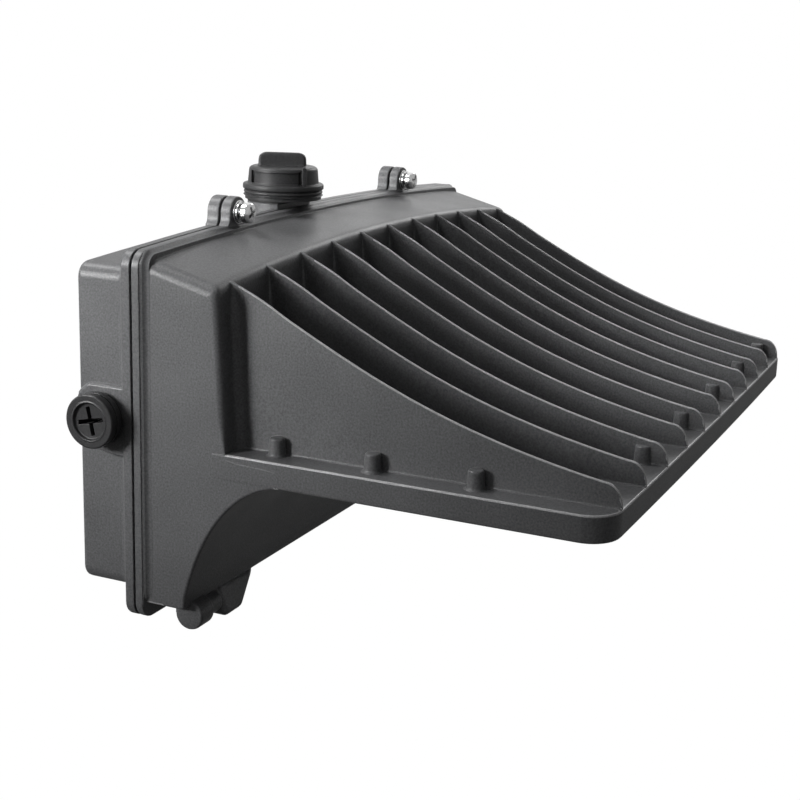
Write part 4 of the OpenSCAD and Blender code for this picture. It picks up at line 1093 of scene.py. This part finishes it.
GRIP_STEPS = [(-0.9, 14.8), (-0.45, 15.05), (-0.1, 15.6), (0, 16.4), (0.1, 20.2), (0.3, 21.2),
              (0.75, 21.75), (1.4, 21.9)]
RIB_X = 11.9
RIB_OUTLINE = [(-1, 13.9), (-0.6, 14.4), (0.6, 14.1), (1, 13.4)]
RIB_INSIDE = 2.0
RIB_TAPER = 0.35
RIB_STEPS = [(1.3, 6.1), (1.3, 14.6), (1.2, 15.1), (0.9, 15.45), (0.5, 15.6)]


def grip_ring(inset, z):
    x, y = GRIP_HALF - inset, GRIP_HALF_T - inset
    r = GRIP_R - min(inset, 1.0)
    pts = arc(x - r, y - r, r, 0, 90, 5)
    pts += [(q, y) for q in GRIP_STATIONS]
    pts += arc(r - x, y - r, r, 90, 180, 5)
    pts += arc(r - x, r - y, r, 180, 270, 5)
    pts += [(-q, -y) for q in GRIP_STATIONS]
    pts += arc(x - r, r - y, r, 270, 360, 5)
    ring = []
    for px, py in pts:
        beyond = abs(px) - GRIP_FLAT
        fall = GRIP_FALL * beyond ** 2 if beyond >= 0 and z > GRIP_TOP_Z else 0.0
        ring.append((px - GRIP_SHIFT, py, z - fall))
    return ring


def rib_ring(w, z):
    outline = [(u, v + w * RIB_TAPER) for u, v in RIB_OUTLINE]
    outline = [(-1, RIB_INSIDE)] + outline + [(1, RIB_INSIDE)]
    return [(RIB_X + u * w, -v, z) for u, v in outline]


def cap_moulding():
    drum = solid("drum", lathe(DRUM_OUTLINE, 96))
    room = solid("room", rod(ROOM_R, *ROOM_Z, 48))
    panel = solid("panel", rounded_box(*PANEL_BOX, PANEL_EDGE_R, 2))
    cut(panel, solid("core", lathe(PANEL_CORE, 96)))
    grooves = solid("grooves", *[rounded_box(*box, GROOVE_EDGE_R, 1) for box in GROOVE_BOXES])
    cut(drum, room, panel, grooves)
    grip = solid("grip", loft([grip_ring(inset, z) for inset, z in GRIP_STEPS]))
    rib = solid("rib", loft([rib_ring(w, z) for w, z in RIB_STEPS]))
    cap = join("cap_moulding", [drum, grip, rib])
    place = Matrix.Translation((-CELL_X * MM, -CELL_D * MM, CAP_Z * MM))
    cap.data.transform(place @ Matrix.Rotation(CAP_TURN, 4, "Z"))
    return cap


# Conduit plugs: (radius, distance from the middle of the light)
THREAD_R = 9.9
THREAD_DEPTH = 0.7
THREAD_X = 171.4
THREAD_STEP = 0.75
THREAD_POINTS = 8
SHANK_OUTLINE = [(0, 170.5), (9.4, 170.5), (THREAD_R, 171.0)]
HEAD_OUTLINE = [
    (THREAD_R, 177.2), (THREAD_R, 177.75), (12.0, 177.75), (12.4, 177.9), (12.5, 178.3),
    (12.5, 180.3), (12.35, 180.5), (11.8, 180.6), (11.7, 180.9), (11.7, 181.2), (11.9, 181.4),
    (12.35, 181.5), (12.5, 181.8), (12.5, 184.4), (12.4, 184.85), (12.1, 185.15), (11.7, 185.25),
    (9.7, 185.1), (9.3, 185.15), (9.05, 185.3), (8.75, 185.3), (8.5, 185.1), (8.35, 184.4),
    (8.1, 184.0), (7.6, 183.85), (0, 183.8)]
SLOT_X = (176.0, 187)
SLOT_EDGE_R = 0.5
SLOT_HALF = 6.7
SLOT_HALF_W = 1.05
SLOT_TURNS = (-12, 78)


def plug(side):
    thread = [(THREAD_R - THREAD_DEPTH * (k % 2), THREAD_X + THREAD_STEP * k)
              for k in range(THREAD_POINTS)]
    o = solid("plug", lathe(SHANK_OUTLINE + thread + HEAD_OUTLINE, 96, "x", (0, -PLUG_D, 0)))
    slots = []
    for a in (math.radians(degrees) for degrees in SLOT_TURNS):
        verts, faces = rounded_box(*SLOT_X, -SLOT_HALF, SLOT_HALF, -SLOT_HALF_W, SLOT_HALF_W,
                                   SLOT_EDGE_R, 2)
        c, s = math.cos(a), math.sin(a)
        turned = [(x, y * c - z * s - PLUG_D, y * s + z * c) for x, y, z in verts]
        slots.append(solid("slot", (turned, faces)))
    cut(o, *slots)
    if side < 0:
        o.data.transform(Matrix.Scale(-1, 4, (1, 0, 0)))
        o.data.flip_normals()
    return o


# Cover screws and their washers: (radius, depth)
HEAD_D = 39.9
TIP_OUTLINE = [(0, 25.1), (1.5, 25.1), (2.0, 25.6)]
SHANK_R = 2.45
THREAD_ROOT_R = 2.05
SCREW_THREAD_D = 25.9
SCREW_THREAD_STEP = 0.4
SCREW_THREAD_POINTS = 29
SCREW_NECK = (2.4, 37.8)
SCREW_HEAD = [(SHANK_R, -0.6), (4.5, -0.6), (4.85, -0.35), (4.95, 0), (4.95, 0.6), (4.95, 2.1),
              (4.88, 2.7), (4.65, 3.2), (4.25, 3.55), (3.7, 3.75), (2.8, 3.85), (0, 3.9)]
RECESS = [(1.0, 2.4, 0.6), (4.3, 3.7, 0.85)]  # out from HEAD_D, half the length, half the width
RECESS_TURN = {-1: 28, 1: -20}
FLAT_OUTLINE = [(2.6, 36.12), (5.4, 36.12), (5.7, 36.25), (5.8, 36.5), (5.8, 36.75), (5.7, 36.95),
                (5.4, 37.05), (2.8, 37.05), (2.6, 36.95), (2.6, 36.12)]
COIL_OUTLINE = [(2.6, 37.3), (2.6, 38.3), (2.8, 38.4), (4.9, 38.4), (5.2, 38.25), (5.3, 37.85),
                (5.2, 37.45), (4.9, 37.3)]
COIL_D = (37.2, 38.7)
COIL_LIFT = 0.32
COIL_START = 96
COIL_SWEEP = 348
COIL_STEPS = 60


def screw(side):
    thread = [(SHANK_R if k % 2 else THREAD_ROOT_R, SCREW_THREAD_D + SCREW_THREAD_STEP * k)
              for k in range(SCREW_THREAD_POINTS)]
    outline = TIP_OUTLINE + thread + [SCREW_NECK] + [(r, HEAD_D + out) for r, out in SCREW_HEAD]
    o = solid("screw", lathe(outline, 48, "y", (side * SCREW_X, 0, SCREW_Z), -1))
    cutters = []
    for quarter in (0, 90):
        a = math.radians(quarter + RECESS_TURN[side])
        corners = []
        for out, w, h in RECESS:
            for u, v in ((-w, -h), (w, -h), (w, h), (-w, h)):
                corners.append((side * SCREW_X + u * math.cos(a) - v * math.sin(a), -(HEAD_D + out),
                                SCREW_Z + u * math.sin(a) + v * math.cos(a)))
        cutters.append(solid("cross", hull(corners, 0)))
    return cut(o, *cutters)


def flat_washer(side):
    return lathe(FLAT_OUTLINE, 56, "y", (side * SCREW_X, 0, SCREW_Z), -1)


def spring_washer(side):
    """A split ring whose ends stand apart along the screw."""
    rings = []
    for t in (k / COIL_STEPS for k in range(COIL_STEPS + 1)):
        a = math.radians(COIL_START + COIL_SWEEP * t)
        ring = []
        for r, d in COIL_OUTLINE:
            depth = min(max(d + COIL_LIFT * t - COIL_LIFT / 2, COIL_D[0]), COIL_D[1])
            ring.append((side * SCREW_X + r * math.cos(a), -depth, SCREW_Z + r * math.sin(a)))
        rings.append(ring)
    return loft(rings)


# The pieces on their bodies
dress_carried()

cover = cover_casting()
soften(cover, 38)
dress(cover, "cover", COAT, "front_cover")
# Painted highlights on the cover's narrow convex edge strips
paint_edge_highlights(cover)

housing = housing_casting()
soften(housing, 38)
dress(housing, "housing", COAT, "rear_housing")

cell_cap = cap_moulding()
soften(cell_cap, 42)
dress(cell_cap, "photocell_cap", PLASTIC, "photocell_cap")

for side, word in ((-1, "left"), (1, "right")):
    o = plug(side)
    o.name = "plug_moulding_" + word
    soften(o)
    dress(o, "conduit_plug_" + word, PLASTIC, "conduit_plug_" + word)

for side, word in ((-1, "left"), (1, "right")):
    o = screw(side)
    o.name = "screw_" + word
    soften(o)
    dress(o, "cover_screw_" + word, STEEL, "cover_screw_" + word)

for name, washer, node in (("flat_ring", flat_washer, "flat_washers"),
                           ("spring_ring", spring_washer, "spring_washers")):
    o = solid(name, washer(-1), washer(1))
    soften(o)
    dress(o, "cover", STEEL, node)

# Camera, fitted to the photograph's outlines, in metres
AZIMUTH = math.radians(-65.76)
ELEVATION = math.radians(14.38)
ROLL = math.radians(1.83)
AIM = Vector((0.088368, -0.041536, -0.046352))
DISTANCE = 0.89696
FOCAL_PIXELS = 1473.26
PICTURE_PIXELS = 800
SENSOR = 36


def make_camera():
    back = Vector((math.sin(AZIMUTH) * math.cos(ELEVATION), -math.cos(AZIMUTH) * math.cos(ELEVATION),
                   math.sin(ELEVATION)))
    level = (-back).cross(Vector((0, 0, 1))).normalized()
    upright = level.cross(-back)
    right = math.cos(ROLL) * level + math.sin(ROLL) * upright
    up = -math.sin(ROLL) * level + math.cos(ROLL) * upright
    data = bpy.data.cameras.new("camera")
    data.sensor_width = SENSOR
    data.lens = FOCAL_PIXELS / PICTURE_PIXELS * SENSOR
    data.clip_start = 0.02
    data.clip_end = 50
    cam = linked("camera", data)
    turn = Matrix((right, up, back)).transposed().to_4x4()
    cam.matrix_world = Matrix.Translation(AIM + back * DISTANCE) @ turn
    bpy.context.scene.camera = cam


# Floor, world and lamps
FLOOR_HALF = 6.0
FLOOR_Z = -0.9
FLOOR_GLOW = 1.016
FLOOR_GLOW_SHARE = 0.985
FLOOR_IN_GLOSS = 0.15
WORLD_ON_OBJECT = 0.12
WORLD_IN_GLOSS = 0.5
LAMPS = [  # name, place, aim, size in m, power in W, spread in degrees
    ("key", (-0.63, 0.39, 0.26), (-0.17, 0.06, 0.11), 0.34, 0.60, 33),
    ("top", (0.60, 0.25, 0.95), (0.0, -0.05, 0.05), 1.3, 0.8, 100),
    ("front", (1.05, -0.19, 0.60), (0, -0.1, 0.05), 0.5, 0.22, 40),
    ("edge", (-0.16, 0.54, 0.98), (0, -0.05, 0.06), 0.3, 0.85, 60),
    ("sheen", (0.80, 0.32, 0.32), (0.1, 0, 0.1), 0.4, 0.05, 60)]


def floor_paint():
    """Dull grey paint for the light, white to the camera and through glass, and dim in gloss."""
    m, nt, b = material("floor_paint")
    b.inputs["Roughness"].default_value = 0.9
    tone = ramp(nt, noise_at(nt, 3.0).outputs["Fac"], [(0.0, 0.09), (1.0, 0.11)])
    nt.links.new(tone.outputs[0], b.inputs["Base Color"])
    rays = add(nt, "ShaderNodeLightPath").outputs
    dim = math_on(nt, "MULTIPLY", rays["Is Glossy Ray"], FLOOR_IN_GLOSS)
    seen = math_on(nt, "MAXIMUM", rays["Is Camera Ray"], dim)
    seen = math_on(nt, "MAXIMUM", seen, rays["Is Transmission Ray"])
    share = math_on(nt, "MULTIPLY", seen, FLOOR_GLOW_SHARE)
    glow = add(nt, "ShaderNodeEmission", {"Color": (1, 1, 1, 1), "Strength": FLOOR_GLOW})
    mix = add(nt, "ShaderNodeMixShader")
    nt.links.new(share, mix.inputs[0])
    nt.links.new(b.outputs[0], mix.inputs[1])
    nt.links.new(glow.outputs[0], mix.inputs[2])
    nt.links.new(mix.outputs[0], nt.nodes["Material Output"].inputs[0])
    return m


def make_floor():
    s = FLOOR_HALF
    me = bpy.data.meshes.new("floor")
    corners = [(-s, -s, FLOOR_Z), (s, -s, FLOOR_Z), (s, s, FLOOR_Z), (-s, s, FLOOR_Z)]
    me.from_pydata(corners, [], [(0, 1, 2, 3)])
    me.materials.append(floor_paint())
    linked("floor", me)


def make_world():
    """A weak even light on the object, brighter in gloss, and white to the camera and in glass."""
    world = bpy.data.worlds.new("studio")
    bpy.context.scene.world = world
    world.use_nodes = True
    nt = world.node_tree
    background = nt.nodes["Background"]
    background.inputs[0].default_value = (1, 1, 1, 1)
    rays = add(nt, "ShaderNodeLightPath").outputs
    seen = math_on(nt, "MAXIMUM", rays["Is Camera Ray"], rays["Is Transmission Ray"])
    strength = add(nt, "ShaderNodeMapRange", {"To Min": WORLD_ON_OBJECT, "To Max": 1.0})
    nt.links.new(seen, strength.inputs[0])
    shine = math_on(nt, "MULTIPLY", rays["Is Glossy Ray"], WORLD_IN_GLOSS)
    level = math_on(nt, "MAXIMUM", strength.outputs[0], shine)
    nt.links.new(level, background.inputs[1])


def lamp(name, at, aim, size, power, spread):
    light = bpy.data.lights.new(name, "AREA")
    light.shape = "RECTANGLE"
    light.size = size
    light.size_y = size
    light.energy = power
    light.spread = math.radians(spread)
    o = linked(name, light)
    o.location = Vector(at)
    o.rotation_mode = "QUATERNION"
    o.rotation_quaternion = (Vector(aim) - Vector(at)).to_track_quat("-Z", "Y")


make_camera()
make_floor()
make_world()
for settings in LAMPS:
    lamp(*settings)
bpy.context.scene.view_settings.view_transform = "Standard"
